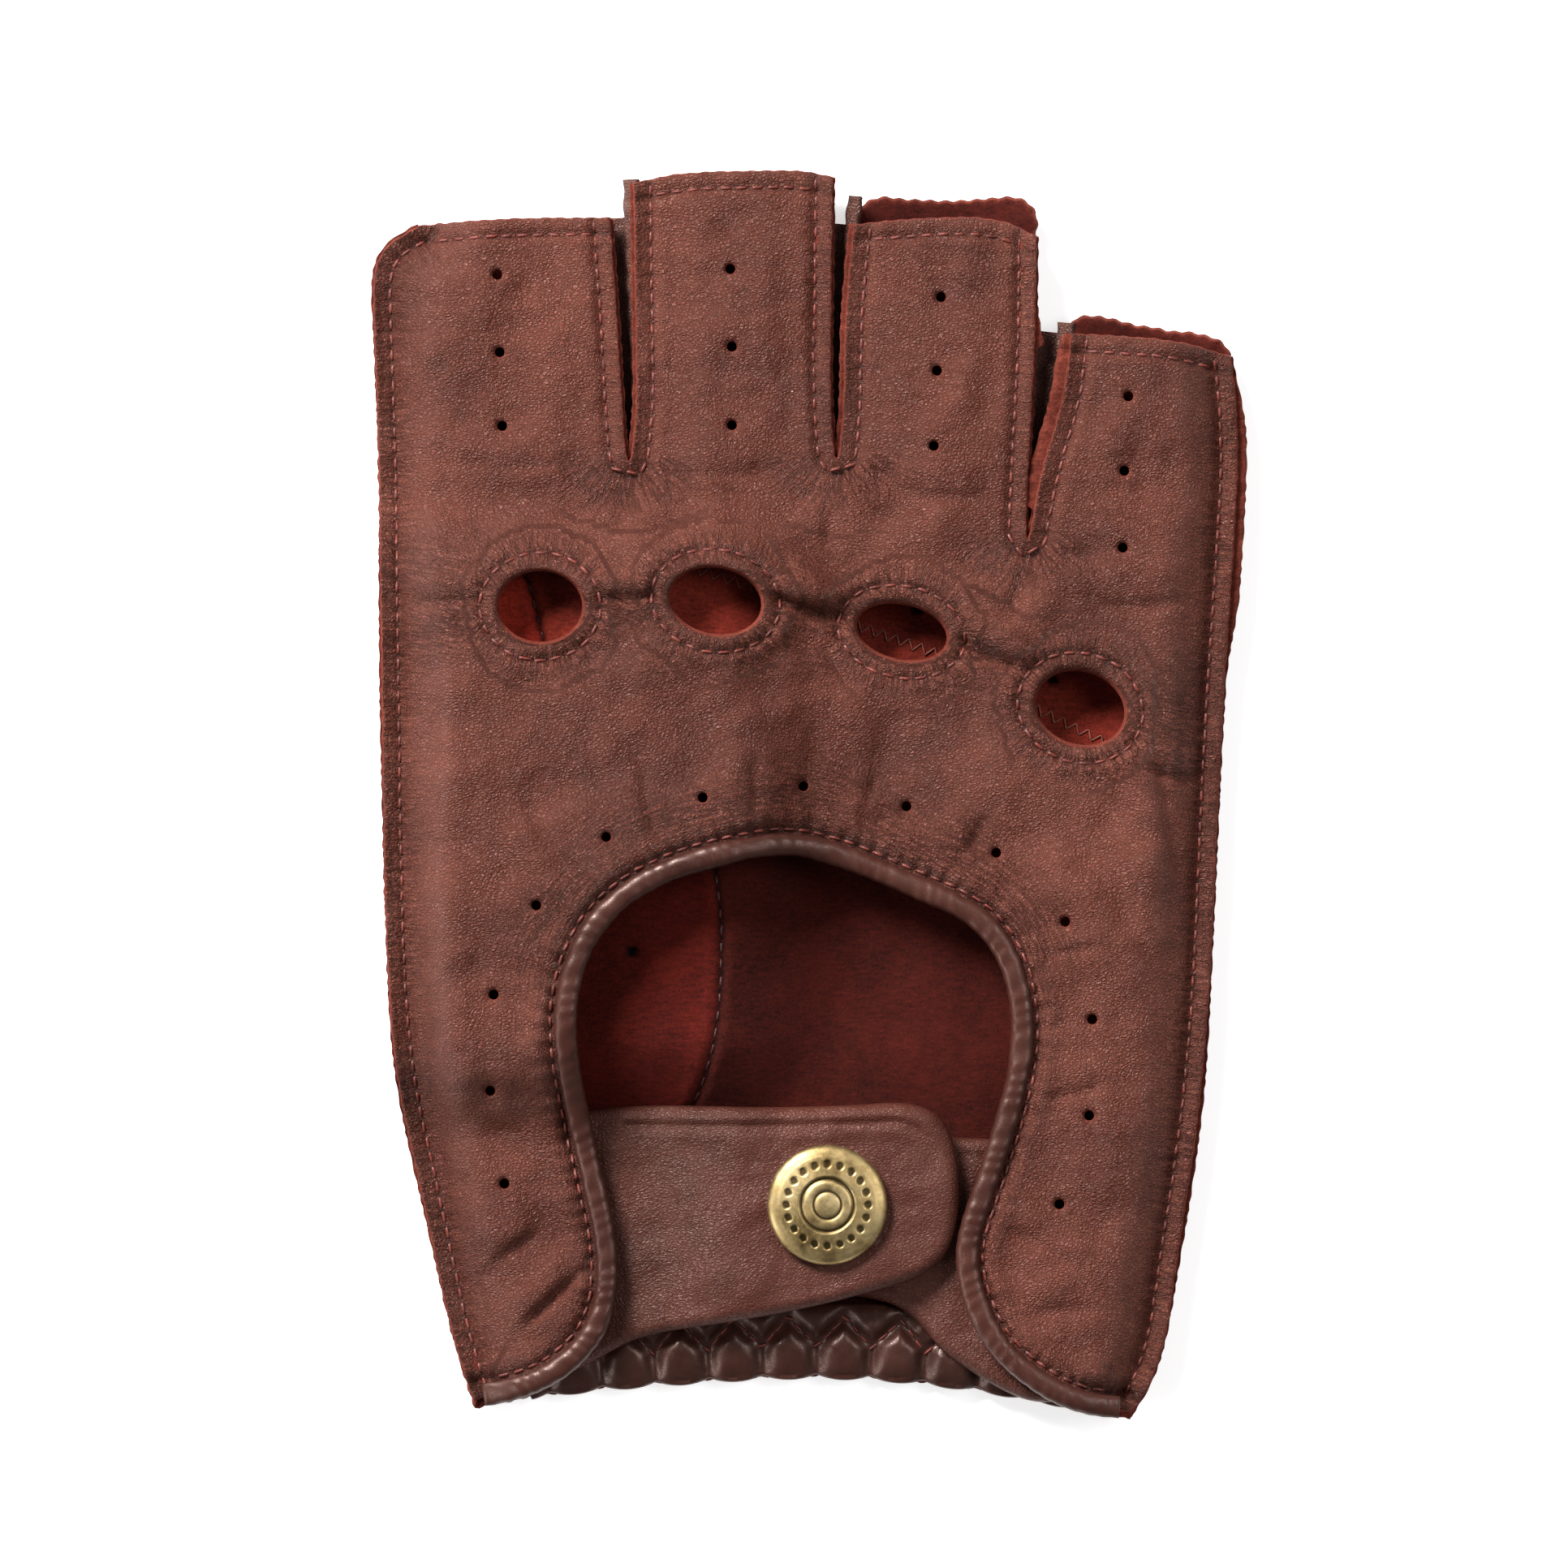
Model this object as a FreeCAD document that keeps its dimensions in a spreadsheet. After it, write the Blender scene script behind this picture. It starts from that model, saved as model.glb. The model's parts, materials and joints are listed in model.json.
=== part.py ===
"""Half-finger leather driving glove, right hand, lying palm down on a flat surface.

Millimetres. +Y runs to the finger tips, +X to the little finger and +Z out of the back of the hand.
The origin is at the middle of the footprint, at the height of the surface that the glove lies on.

The leather panels are thin sheets that follow one height field: the palm sheet rises over the folded thumb
and towards the seams, and the back sheet stands clear of it by the room that a hand needs.
"""
import FreeCAD, Part
import math
import os

import Sketcher
from FreeCAD import Placement, Rotation, Vector

os.makedirs("parts", exist_ok=True)
doc = FreeCAD.newDocument("driving_glove")

# ------------------------------------------------------------------ driving dimensions

DIMENSIONS = (
    ("palm_leather", 0.8),
    ("back_leather", 0.9),
    ("lining_leather", 0.8),
    ("facing_leather", 0.5),
    ("seam_flange", 2.8),
    ("shoulder_width", 6.0),
    ("seam_rise", 2.2),
    ("hand_room", 5.4),
    ("fourchette_room", 3.0),
    ("thumb_lift", 6.6),
    ("palm_rest_gap", 0.05),
    ("sheet_gap", 0.25),
    ("stitch_inset", 2.1),
    ("thread_width", 0.45),
    ("thread_height", 0.3),
    ("thread_clear", 0.2),
    ("vent_diameter", 1.35),
    ("binding_width", 2.6),
    ("binding_cover", 0.9),
    ("flex_gap", 0.3),
    ("sleeve_width", 34.0),
    ("sleeve_length", 30.0),
    ("sleeve_height", 6.2),
    ("sleeve_wall", 0.8),
    ("sleeve_corner", 3.0),
    ("sleeve_left", -48.0),
    ("sleeve_root", -18.0),
    ("elastic_width", 7.0),
    ("elastic_thick", 0.6),
    ("hem_width", 8.6),
    ("snap_x", 2.7),
    ("snap_y", -51.1),
    ("strap_level", 6.3),
    ("strap_root_level", 3.3),
    ("strap_hinge_x", -22.3),
    ("tab_level", 1.8),
    ("tab_root_level", 3.3),
    ("cap_radius", 7.5),
    ("cap_edge_radius", 7.1),
    ("cap_ring_outer", 3.9),
    ("cap_ring_inner", 3.3),
    ("cap_rivet_radius", 2.0),
    ("cap_rivet_length", 1.7),
    ("cap_rim_level", 2.7),
    ("cap_shoulder_level", 3.4),
    ("cap_ring_level", 3.9),
    ("cap_groove_level", 3.6),
    ("cap_top_level", 4.1),
    ("socket_radius", 6.2),
    ("socket_lip_radius", 5.2),
    ("socket_bore", 3.9),
    ("socket_eye", 2.1),
    ("socket_lip_level", 1.3),
    ("socket_plate_level", 1.85),
    ("socket_depth", 2.35),
    ("spring_radius", 3.6),
    ("spring_wire", 0.25),
    ("stud_flange_radius", 4.8),
    ("stud_neck_radius", 2.4),
    ("stud_head_radius", 2.9),
    ("stud_bore", 1.5),
    ("stud_flange_level", 0.3),
    ("stud_neck_level", 1.2),
    ("stud_head_level", 1.5),
    ("stud_crown_level", 1.8),
    ("stud_top_level", 2.0),
    ("post_flange_radius", 4.5),
    ("post_barrel_radius", 1.4),
    ("post_flange_level", 0.45),
    ("post_top_level", 3.9),
)

sheet = doc.addObject("Spreadsheet::Sheet", "Dimensions")
for row, (alias, value) in enumerate(DIMENSIONS, start=1):
    sheet.set("A%d" % row, alias)
    sheet.set("B%d" % row, str(value))
    sheet.setAlias("B%d" % row, alias)
doc.recompute()


def dim(alias):
    return float(sheet.get(alias))


# ------------------------------------------------------------------ plan outlines (x, y)

LEFT_SEAM = [(-41.3, -76.6), (-44.0, -68.0), (-47.4, -52.7), (-50.6, -37.5), (-52.1, -22.3),
             (-52.7, 0.0), (-53.1, 28.4), (-54.0, 60.0), (-53.0, 67.8), (-48.4, 71.2)]
INDEX_TIP = [(-48.4, 71.2), (-36.0, 72.0), (-24.4, 72.1)]
FORK_INDEX = [(-24.4, 72.1), (-23.3, 56.0), (-22.7, 46.0), (-22.1, 41.6), (-21.4, 46.0), (-21.2, 56.0),
              (-21.5, 76.4)]
MIDDLE_TIP = [(-21.5, 76.4), (-17.0, 77.4), (-8.0, 77.9), (0.4, 77.8), (3.4, 77.2)]
FORK_MIDDLE = [(3.4, 77.2), (3.2, 60.0), (3.3, 47.0), (3.9, 42.0), (4.6, 47.0), (4.9, 58.0), (6.0, 71.3)]
RING_TIP = [(6.0, 71.3), (17.0, 72.1), (25.0, 71.5), (28.8, 69.8)]
FORK_RING = [(28.8, 69.8), (28.5, 53.0), (27.8, 40.0), (27.7, 31.9), (29.4, 40.0), (31.8, 48.5), (33.1, 57.6)]
LITTLE_TIP = [(33.1, 57.6), (41.0, 57.2), (48.0, 56.3), (53.2, 54.9)]
RIGHT_SEAM = [(53.2, 54.9), (54.0, 46.0), (53.6, 32.0), (52.3, 12.0), (51.2, -10.0), (50.3, -27.0),
              (48.6, -44.0), (46.2, -60.0), (43.7, -72.0), (40.4, -78.0)]
WRIST_HEM = [(40.4, -78.0), (30.0, -75.8), (15.0, -73.5), (0.0, -72.7), (-15.0, -73.4), (-31.5, -74.9),
             (-41.3, -76.6)]
CUTOUT_EDGE = [(40.4, -78.0), (34.5, -77.2), (28.0, -74.1), (22.8, -69.3), (19.7, -63.0), (18.8, -57.0),
               (20.2, -51.0), (23.5, -41.0), (25.5, -32.0), (25.1, -24.3), (21.4, -17.2), (14.0, -13.1),
               (6.0, -9.7), (-2.0, -7.6), (-10.5, -8.8), (-19.0, -11.9), (-25.4, -17.6), (-28.4, -27.0),
               (-27.5, -37.0), (-24.9, -49.0), (-23.4, -58.0), (-24.9, -66.9), (-30.0, -72.7), (-36.0, -75.5),
               (-41.3, -76.6)]
GUSSET_SEAM = [(-53.2, 31.0), (-44.0, 31.2), (-36.5, 29.5), (-33.4, 22.0), (-29.0, 11.0), (-20.0, 2.0),
               (-13.2, -4.5), (-10.9, -12.0), (-10.6, -22.3), (-11.3, -30.0), (-14.1, -38.7), (-20.5, -47.5),
               (-30.0, -53.5), (-46.8, -55.5)]
STRAP_TOP = [(-22.3, -39.3), (-5.0, -39.2), (10.7, -38.8), (14.6, -39.2), (17.0, -41.0), (18.5, -45.0),
             (18.8, -50.0), (18.3, -54.5), (16.2, -58.4), (11.0, -61.0), (3.9, -62.9), (-5.1, -64.8),
             (-14.2, -66.3), (-22.3, -68.3)]
STRAP_ROOT = [(-22.6, -68.4), (-27.0, -70.2), (-31.5, -69.5), (-32.5, -55.0), (-32.5, -43.0), (-29.5, -39.5),
              (-22.6, -39.3)]
UNDER_TAB = [(24.5, -43.0), (10.0, -42.8), (0.5, -43.0), (-5.4, -46.2), (-7.2, -51.4), (-5.2, -57.6),
             (1.0, -61.4), (8.0, -62.8), (13.0, -65.0), (17.0, -69.0), (23.0, -72.6), (29.5, -74.6)]

# centre x, centre y, half length, half width, tilt in degrees
KNUCKLE_HOLES = {
    "index": (-33.0, 23.5, 5.4, 4.6, 0.0),
    "middle": (-11.2, 24.2, 5.9, 4.3, -10.0),
    "ring": (12.0, 20.4, 5.9, 3.6, -12.0),
    "little": (34.3, 10.9, 5.8, 4.7, -18.0),
}
FINGER_VENTS = [(-38.5, 65.0), (-38.2, 55.3), (-37.9, 46.1), (-9.4, 65.7), (-9.2, 56.0), (-9.2, 46.2),
                (16.9, 62.2), (16.4, 53.0), (16.0, 43.6), (40.3, 49.8), (39.8, 40.5), (39.6, 30.9)]
HAND_VENTS = [(-37.6, -48.5), (-39.3, -36.8), (-38.8, -24.8), (-33.5, -13.7), (-24.8, -5.2), (-12.8, -0.3),
              (-0.3, 1.1), (12.6, -1.4), (23.8, -7.2), (32.4, -15.8), (35.8, -28.0), (35.4, -40.0),
              (31.7, -51.1)]
PALM_VENTS = [(-21.7, -19.5), (14.0, 23.2), (31.0, 14.5)]

# the line across the knuckles that the finger row bends on
FLEX_LEFT = (-54.0, 38.0)
FLEX_RIGHT = (54.0, 22.0)

PRISM_FLOOR = -2.0
PRISM_HEIGHT = 30.0


# ------------------------------------------------------------------ curves and prisms

def smooth_curve(points):
    """Interpolated spline through plan points at z = PRISM_FLOOR."""
    curve = Part.BSplineCurve()
    curve.interpolate([Vector(x, y, PRISM_FLOOR) for x, y in points])
    return curve


def run_edge(points):
    if len(points) == 2:
        ends = [Vector(x, y, PRISM_FLOOR) for x, y in points]
        return Part.makeLine(ends[0], ends[1])
    return smooth_curve(points).toShape()


def sampled(points, count):
    """Evenly spaced plan points along the spline of a run."""
    spots = smooth_curve(points).discretize(Number=count)
    return [(spot.x, spot.y) for spot in spots]


def plan_normals(points):
    """Unit left-hand normals of a sampled run."""
    last = len(points) - 1
    normals = []
    for i in range(len(points)):
        before = points[max(i - 1, 0)]
        after = points[min(i + 1, last)]
        dx = after[0] - before[0]
        dy = after[1] - before[1]
        length = math.hypot(dx, dy)
        normals.append((-dy / length, dx / length))
    return normals


def shifted(points, distance):
    """A sampled run moved sideways to its left."""
    normals = plan_normals(points)
    return [(p[0] + distance * n[0], p[1] + distance * n[1]) for p, n in zip(points, normals)]


def evenly_spaced(points, count):
    """A polyline resampled to points at equal steps along it."""
    steps = [math.dist(a, b) for a, b in zip(points, points[1:])]
    total = sum(steps)
    spots = []
    i = 0
    passed = 0.0
    for k in range(count):
        target = total * k / (count - 1)
        while i < len(steps) - 1 and passed + steps[i] < target:
            passed += steps[i]
            i += 1
        share = min(max((target - passed) / steps[i], 0.0), 1.0)
        a, b = points[i], points[i + 1]
        spots.append((a[0] + share * (b[0] - a[0]), a[1] + share * (b[1] - a[1])))
    return spots


def beside(run, distance, count):
    """Evenly spaced points at a distance to the left of a run, true through its tight turns."""
    return evenly_spaced(shifted(sampled(run, 600), distance), count)


def prism(runs, holes=()):
    """Vertical prism over the closed outline that the runs make end to end."""
    outline = Part.Wire([run_edge(run) for run in runs])
    solid = Part.Face(outline).extrude(Vector(0, 0, PRISM_HEIGHT))
    for hole in holes:
        solid = solid.cut(hole)
    return solid


def round_hole(x, y, diameter):
    return Part.makeCylinder(diameter / 2, PRISM_HEIGHT, Vector(x, y, PRISM_FLOOR))


def oval_hole(x, y, half_length, half_width, tilt):
    ellipse = Part.Ellipse(Vector(0, 0, 0), half_length, half_width)
    solid = Part.Face(Part.Wire(ellipse.toShape())).extrude(Vector(0, 0, PRISM_HEIGHT))
    solid.Placement = Placement(Vector(x, y, PRISM_FLOOR), Rotation(Vector(0, 0, 1), tilt))
    return solid


# ------------------------------------------------------------------ height field

SEAM_SAMPLES = 60
side_lines = [sampled(LEFT_SEAM, SEAM_SAMPLES), sampled(RIGHT_SEAM, SEAM_SAMPLES)]
fork_lines = [sampled(run, SEAM_SAMPLES) for run in (FORK_INDEX, FORK_MIDDLE, FORK_RING)]


def segment_distance(px, py, start, end):
    dx = end[0] - start[0]
    dy = end[1] - start[1]
    along = ((px - start[0]) * dx + (py - start[1]) * dy) / (dx * dx + dy * dy)
    along = min(max(along, 0.0), 1.0)
    return math.hypot(px - start[0] - along * dx, py - start[1] - along * dy)


def distance_to_lines(x, y, lines):
    return min(segment_distance(x, y, a, b) for line in lines for a, b in zip(line, line[1:]))


def smooth_step(value):
    value = min(max(value, 0.0), 1.0)
    return value * value * (3.0 - 2.0 * value)


def shoulder(distance):
    """0 on the seam flange, rising to 1 where the sheet lies flat."""
    share = (distance - dim("seam_flange")) / dim("shoulder_width")
    return math.sin(math.pi / 2 * min(max(share, 0.0), 1.0))


THUMB_LIFT = dim("thumb_lift")


def lift_over_thumb(x, y):
    across = 1.0 - smooth_step((x + 11.5) / 16.0)
    along = smooth_step((y + 44.0) / 14.0) * (1.0 - smooth_step((y - 26.0) / 12.0))
    return THUMB_LIFT * across * along


def palm_underside(x, y):
    lift = lift_over_thumb(x, y)
    seam = dim("seam_rise") * (1.0 - lift / THUMB_LIFT)
    to_seam = distance_to_lines(x, y, side_lines + fork_lines)
    return dim("palm_rest_gap") + lift + seam * (1.0 - shoulder(to_seam))


def back_underside(x, y):
    flat = shoulder(distance_to_lines(x, y, side_lines + fork_lines))
    wall = dim("fourchette_room") * smooth_step((distance_to_lines(x, y, side_lines) - 4.0) / 8.0)
    room = dim("hand_room") * flat + wall * (1.0 - flat)
    return palm_underside(x, y) + dim("palm_leather") + dim("sheet_gap") + room


GRID_STEP = 2.0


def grid_values(low, high):
    count = max(4, int(round((high - low) / GRID_STEP)) + 1)
    return [low + (high - low) * i / (count - 1) for i in range(count)]


def leather_slab(height, thickness, x_range, y_range):
    """Sheet of even upright thickness whose underside is the height field."""
    rows = [[Vector(x, y, height(x, y)) for y in grid_values(*y_range)] for x in grid_values(*x_range)]
    surface = Part.BSplineSurface()
    surface.interpolate(rows)
    return surface.toShape().extrude(Vector(0, 0, thickness))


def one_solid(shape):
    solids = sorted(shape.Solids, key=lambda solid: solid.Volume)
    if not solids or sum(solid.Volume for solid in solids[:-1]) > 0.02 * solids[-1].Volume:
        raise RuntimeError("expected one solid, found %d" % len(solids))
    return solids[-1]


def strip_solid(path, section, height, ruled=False):
    """Loft of a closed section (across, up) along a sampled plan path on a height field."""
    wires = []
    for (x, y), (nx, ny) in zip(path, plan_normals(path)):
        level = height(x, y)
        corners = [Vector(x + across * nx, y + across * ny, level + up) for across, up in section]
        wires.append(Part.makePolygon(corners + corners[:1]))
    return Part.makeLoft(wires, True, ruled)


def box_section(across_low, across_high, up_low, up_high):
    return [(across_low, up_low), (across_high, up_low), (across_high, up_high), (across_low, up_high)]


# ------------------------------------------------------------------ document objects

nodes = []


def add_sheet_part(label, shape):
    feature = doc.addObject("Part::Feature", label)
    feature.Label = label
    feature.Shape = shape
    nodes.append(feature)
    return feature


def flex_side(low_shift, upper):
    """Half-plane prism on one side of the knuckle line."""
    (x0, y0), (x1, y1) = FLEX_LEFT, FLEX_RIGHT
    slope = (y1 - y0) / (x1 - x0)
    reach = 70.0
    left = y0 + slope * (-reach - x0) + low_shift
    right = y0 + slope * (reach - x0) + low_shift
    far = 100.0 if upper else -100.0
    corners = [Vector(-reach, left, PRISM_FLOOR), Vector(reach, right, PRISM_FLOOR),
               Vector(reach, far, PRISM_FLOOR), Vector(-reach, far, PRISM_FLOOR)]
    return Part.Face(Part.makePolygon(corners + corners[:1])).extrude(Vector(0, 0, PRISM_HEIGHT))


FINGER_RUNS = [INDEX_TIP, FORK_INDEX, MIDDLE_TIP, FORK_MIDDLE, RING_TIP, FORK_RING, LITTLE_TIP]
finger_side = flex_side(dim("flex_gap"), True)
hand_side = flex_side(0.0, False)

# Back panel. The leather stops inside the rolled binding of the cut-out.
CUTOUT_SAMPLES = 70
cutout_line = sampled(CUTOUT_EDGE, CUTOUT_SAMPLES)
cutout_leather = shifted(cutout_line, -dim("binding_cover"))
cutout_leather[0] = (RIGHT_SEAM[-1][0] + 0.4, RIGHT_SEAM[-1][1] + 0.7)
cutout_leather[-1] = (LEFT_SEAM[0][0] - 0.2, LEFT_SEAM[0][1] + 0.7)
cutout_run = cutout_leather[:-2:3] + cutout_leather[-1:]
back_left = [cutout_leather[-1]] + LEFT_SEAM[1:]
back_right = RIGHT_SEAM[:-1] + [cutout_leather[0]]
back_outline = prism([back_left] + FINGER_RUNS + [back_right, cutout_run])
vents = [round_hole(x, y, dim("vent_diameter")) for x, y in FINGER_VENTS + HAND_VENTS]
ovals = [oval_hole(*oval) for oval in KNUCKLE_HOLES.values()]

back_slab = leather_slab(back_underside, dim("back_leather"), (-56.0, 56.0), (-80.0, 80.0))
back_sheet = back_slab.common(back_outline).cut(vents + ovals)
add_sheet_part("back_panel_hand", one_solid(back_sheet.common(hand_side)))
add_sheet_part("back_panel_fingers", one_solid(back_sheet.common(finger_side)))

# Palm panel, with the thumb gusset set into it along a curved seam.
palm_outline = prism([LEFT_SEAM] + FINGER_RUNS + [RIGHT_SEAM, WRIST_HEM])
gusset_outline = prism([GUSSET_SEAM, [GUSSET_SEAM[-1], (-60.0, -55.5)], [(-60.0, -55.5), (-60.0, 31.0)],
                        [(-60.0, 31.0), GUSSET_SEAM[0]]])
palm_slab = leather_slab(palm_underside, dim("palm_leather"), (-56.0, 56.0), (-80.0, 80.0))
palm_sheet = palm_slab.common(palm_outline).cut([round_hole(x, y, 1.2) for x, y in PALM_VENTS])
palm_hand = palm_sheet.common(hand_side)
thumb_passage = oval_hole(-38.0, -26.5, 8.0, 6.5, 90.0)
add_sheet_part("palm_panel_hand", one_solid(palm_hand.cut(gusset_outline)))
add_sheet_part("thumb_gusset", one_solid(palm_hand.common(gusset_outline).cut(thumb_passage)))
add_sheet_part("palm_panel_fingers", one_solid(palm_sheet.common(finger_side)))

# Lower layer of the thumb fold, from the wrist side of the thumb to the root of the sleeve.
TONGUE = [(-46.5, -18.4), (-46.5, -38.0), (-38.0, -45.0), (-24.0, -45.0), (-15.0, -37.0), (-14.2, -18.4)]
tongue_runs = [TONGUE[1:5], TONGUE[4:], [TONGUE[-1], TONGUE[0]], TONGUE[:2]]
tongue = prism(tongue_runs).common(
    Part.makeBox(60, 60, dim("palm_leather"), Vector(-60, -60, 0)))
palm_clear = leather_slab(lambda x, y: palm_underside(x, y) - 8.0, 7.9, (-56.0, 0.0), (-56.0, -12.0))
add_sheet_part("thumb_tongue", one_solid(tongue.common(palm_clear)))

# Fourchettes: one folded wall in each fork, between the palm edge and the back edge.
FORKS = {"index_middle": FORK_INDEX, "middle_ring": FORK_MIDDLE, "ring_little": FORK_RING}
FORK_SAMPLES = 41


def palm_topside(x, y):
    return palm_underside(x, y) + dim("palm_leather")


def back_topside(x, y):
    return back_underside(x, y) + dim("back_leather")


def edge_level(x, y):
    """Top of the palm leather on the flange of a fork."""
    return dim("palm_rest_gap") + dim("seam_rise") + dim("palm_leather")


def fork_thread_level(x, y):
    return edge_level(x, y) + dim("fourchette_room") + dim("sheet_gap") + dim("back_leather")


GAP = 0.15
WALL_INSET = 1.3
thread_half = dim("thread_width") / 2
half_wall = dim("lining_leather") / 2
wall_section = box_section(-half_wall, half_wall, GAP, dim("fourchette_room") - GAP)
thread_low = dim("thread_clear")
thread_section = box_section(-thread_half, thread_half, thread_low, thread_low + dim("thread_height"))
for fork, run in FORKS.items():
    wall_line = beside(run, -WALL_INSET, FORK_SAMPLES)[2:-2]
    add_sheet_part("fourchette_" + fork, strip_solid(wall_line, wall_section, edge_level, True))
    stitch_line = beside(run, -dim("stitch_inset"), FORK_SAMPLES)[2:-2]
    add_sheet_part("fork_thread_" + fork, strip_solid(stitch_line, thread_section, fork_thread_level, True))

# Threads along the two side seams, in a hand length and a finger length.
SIDES = {"index": (LEFT_SEAM, 30.0, 40.0), "little": (RIGHT_SEAM, 25.0, 27.0)}
for side, (run, hand_end, finger_start) in SIDES.items():
    inner = shifted(sampled(run, 90), -dim("stitch_inset"))
    lower = [p for p in inner if -73.0 < p[1] < hand_end]
    upper = [p for p in inner if finger_start < p[1] < 66.0]
    add_sheet_part("side_thread_%s_hand" % side, strip_solid(lower[::2], thread_section, back_topside))
    add_sheet_part("side_thread_%s_finger" % side, strip_solid(upper[::2], thread_section, back_topside))

# Threads across the four finger tips.
TIPS = {"index": INDEX_TIP, "middle": MIDDLE_TIP, "ring": RING_TIP, "little": LITTLE_TIP}
for finger, run in TIPS.items():
    inner = shifted(sampled(run, 25), -dim("stitch_inset"))[3:-3]
    add_sheet_part("tip_thread_" + finger, strip_solid(inner, thread_section, back_topside))

# Knuckle openings: a thin facing under the back leather and its ring of thread.
FACING_MARGIN = 2.9
for finger, (x, y, half_length, half_width, tilt) in KNUCKLE_HOLES.items():
    span = half_length + FACING_MARGIN + 2.0
    x_range = (x - span, x + span)
    y_range = (y - span, y + span)
    ring_outer = oval_hole(x, y, half_length + FACING_MARGIN, half_width + FACING_MARGIN, tilt)
    ring_inner = oval_hole(x, y, half_length, half_width, tilt)
    facing_low = leather_slab(lambda u, v: back_underside(u, v) - 0.08 - dim("facing_leather"),
                              dim("facing_leather"), x_range, y_range)
    facing = facing_low.common(ring_outer.cut(ring_inner)).common(hand_side)
    add_sheet_part("knuckle_facing_" + finger, one_solid(facing))
    inset = dim("stitch_inset")
    thread_outer = oval_hole(x, y, half_length + inset + thread_half, half_width + inset + thread_half, tilt)
    thread_inner = oval_hole(x, y, half_length + inset - thread_half, half_width + inset - thread_half, tilt)
    thread_sheet = leather_slab(lambda u, v: back_topside(u, v) + thread_low, dim("thread_height"),
                                x_range, y_range)
    add_sheet_part("knuckle_thread_" + finger, one_solid(thread_sheet.common(thread_outer.cut(thread_inner))))

# Rolled binding round the cut-out: a channel section folded over the edge of the back leather.
cover = dim("binding_cover")
half_sheet = dim("back_leather") / 2
channel = [(0.0, -0.75), (-0.35, -1.22), (-dim("binding_width"), -1.12), (-dim("binding_width"), -0.72),
           (-cover + 0.38, -0.72), (-cover + 0.38, 0.72), (-dim("binding_width"), 0.72),
           (-dim("binding_width"), 1.12), (-0.35, 1.22), (0.0, 0.75)]


def back_middle(x, y):
    return back_underside(x, y) + half_sheet


binding_line = cutout_line[4:-4]
add_sheet_part("cutout_binding", strip_solid(binding_line, channel, back_middle))
binding_stitch = shifted(cutout_line, -dim("binding_width") - 0.8)[7:-7]
add_sheet_part("binding_thread", strip_solid(binding_stitch, thread_section, back_topside))

# Thread of the gusset seam on the inside of the palm.
gusset_line = [p for p in sampled(GUSSET_SEAM, 60) if p[0] > -42.0]
add_sheet_part("gusset_thread", strip_solid(gusset_line, thread_section, palm_topside))

# Wrist edge of the palm: elastic under a turned hem, with its thread.
hem_line = shifted(sampled(WRIST_HEM, 50), -(dim("hem_width") / 2 + 0.2))[5:-5]
half_elastic = dim("elastic_width") / 2
elastic_low = dim("palm_leather") + 0.1
elastic_high = elastic_low + dim("elastic_thick")
half_hem = dim("hem_width") / 2
hem_section = box_section(-half_hem, half_hem, elastic_high + 0.1, elastic_high + 0.1 + dim("facing_leather"))


def palm_level(x, y):
    return 0.0


add_sheet_part("wrist_elastic", strip_solid(
    hem_line, box_section(-half_elastic, half_elastic, elastic_low, elastic_high), palm_level))
add_sheet_part("wrist_hem", strip_solid(hem_line, hem_section, palm_level))
WAVE_PITCH = 6.7
wave_line = []
run_length = 0.0
fine_line = shifted(sampled(WRIST_HEM, 240), -(dim("hem_width") - 1.2))[30:-30]
normals = plan_normals(fine_line)
for i, point in enumerate(fine_line):
    if i:
        run_length += math.dist(point, fine_line[i - 1])
    wave = 0.9 * math.sin(2 * math.pi * run_length / WAVE_PITCH)
    wave_line.append((point[0] + wave * normals[i][0], point[1] + wave * normals[i][1]))
hem_top = elastic_high + 0.15 + dim("facing_leather")
wave_section = box_section(-thread_half, thread_half, hem_top, hem_top + dim("thread_height"))
add_sheet_part("hem_thread", strip_solid(wave_line[::2], wave_section, palm_level, True))

# ------------------------------------------------------------------ strap and under tab

snap_x = dim("snap_x")
snap_y = dim("snap_y")


def strap_underside(x, y):
    climb = smooth_step((x - dim("strap_hinge_x")) / 15.0)
    return dim("strap_root_level") + climb * (dim("strap_level") - dim("strap_root_level"))


def tab_underside(x, y):
    climb = smooth_step((x - 8.0) / 12.0)
    return dim("tab_level") + climb * (dim("tab_root_level") - dim("tab_level"))


def two_layers(label, height, runs, x_range, y_range, holes=()):
    """Lining below and outer leather above, both cut to one outline."""
    outline = prism(runs, holes)
    lining = leather_slab(height, dim("lining_leather"), x_range, y_range).common(outline)
    outer = lining.copy()
    outer.translate(Vector(0, 0, dim("lining_leather")))
    add_sheet_part(label + "_lining", one_solid(lining))
    add_sheet_part(label + "_outer", one_solid(outer))


strap_runs = [STRAP_TOP[:3], STRAP_TOP[2:], [STRAP_TOP[-1], STRAP_TOP[0]]]
root_runs = [STRAP_ROOT[:2], STRAP_ROOT[1:6], STRAP_ROOT[5:], [STRAP_ROOT[-1], STRAP_ROOT[0]]]
tab_runs = [UNDER_TAB, [UNDER_TAB[-1], (29.0, -60.0)], [(29.0, -60.0), (27.0, -45.0)],
            [(27.0, -45.0), UNDER_TAB[0]]]
two_layers("strap", strap_underside, strap_runs, (-24.0, 22.0), (-72.0, -36.0),
           [round_hole(snap_x, snap_y, 2 * dim("socket_eye"))])
two_layers("strap_root", lambda x, y: dim("strap_root_level"), root_runs, (-36.0, -20.0), (-74.0, -36.0))
two_layers("under_tab", tab_underside, tab_runs, (-10.0, 34.0), (-80.0, -38.0),
           [round_hole(snap_x, snap_y, 2 * dim("stud_bore"))])


# ------------------------------------------------------------------ press stud

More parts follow.
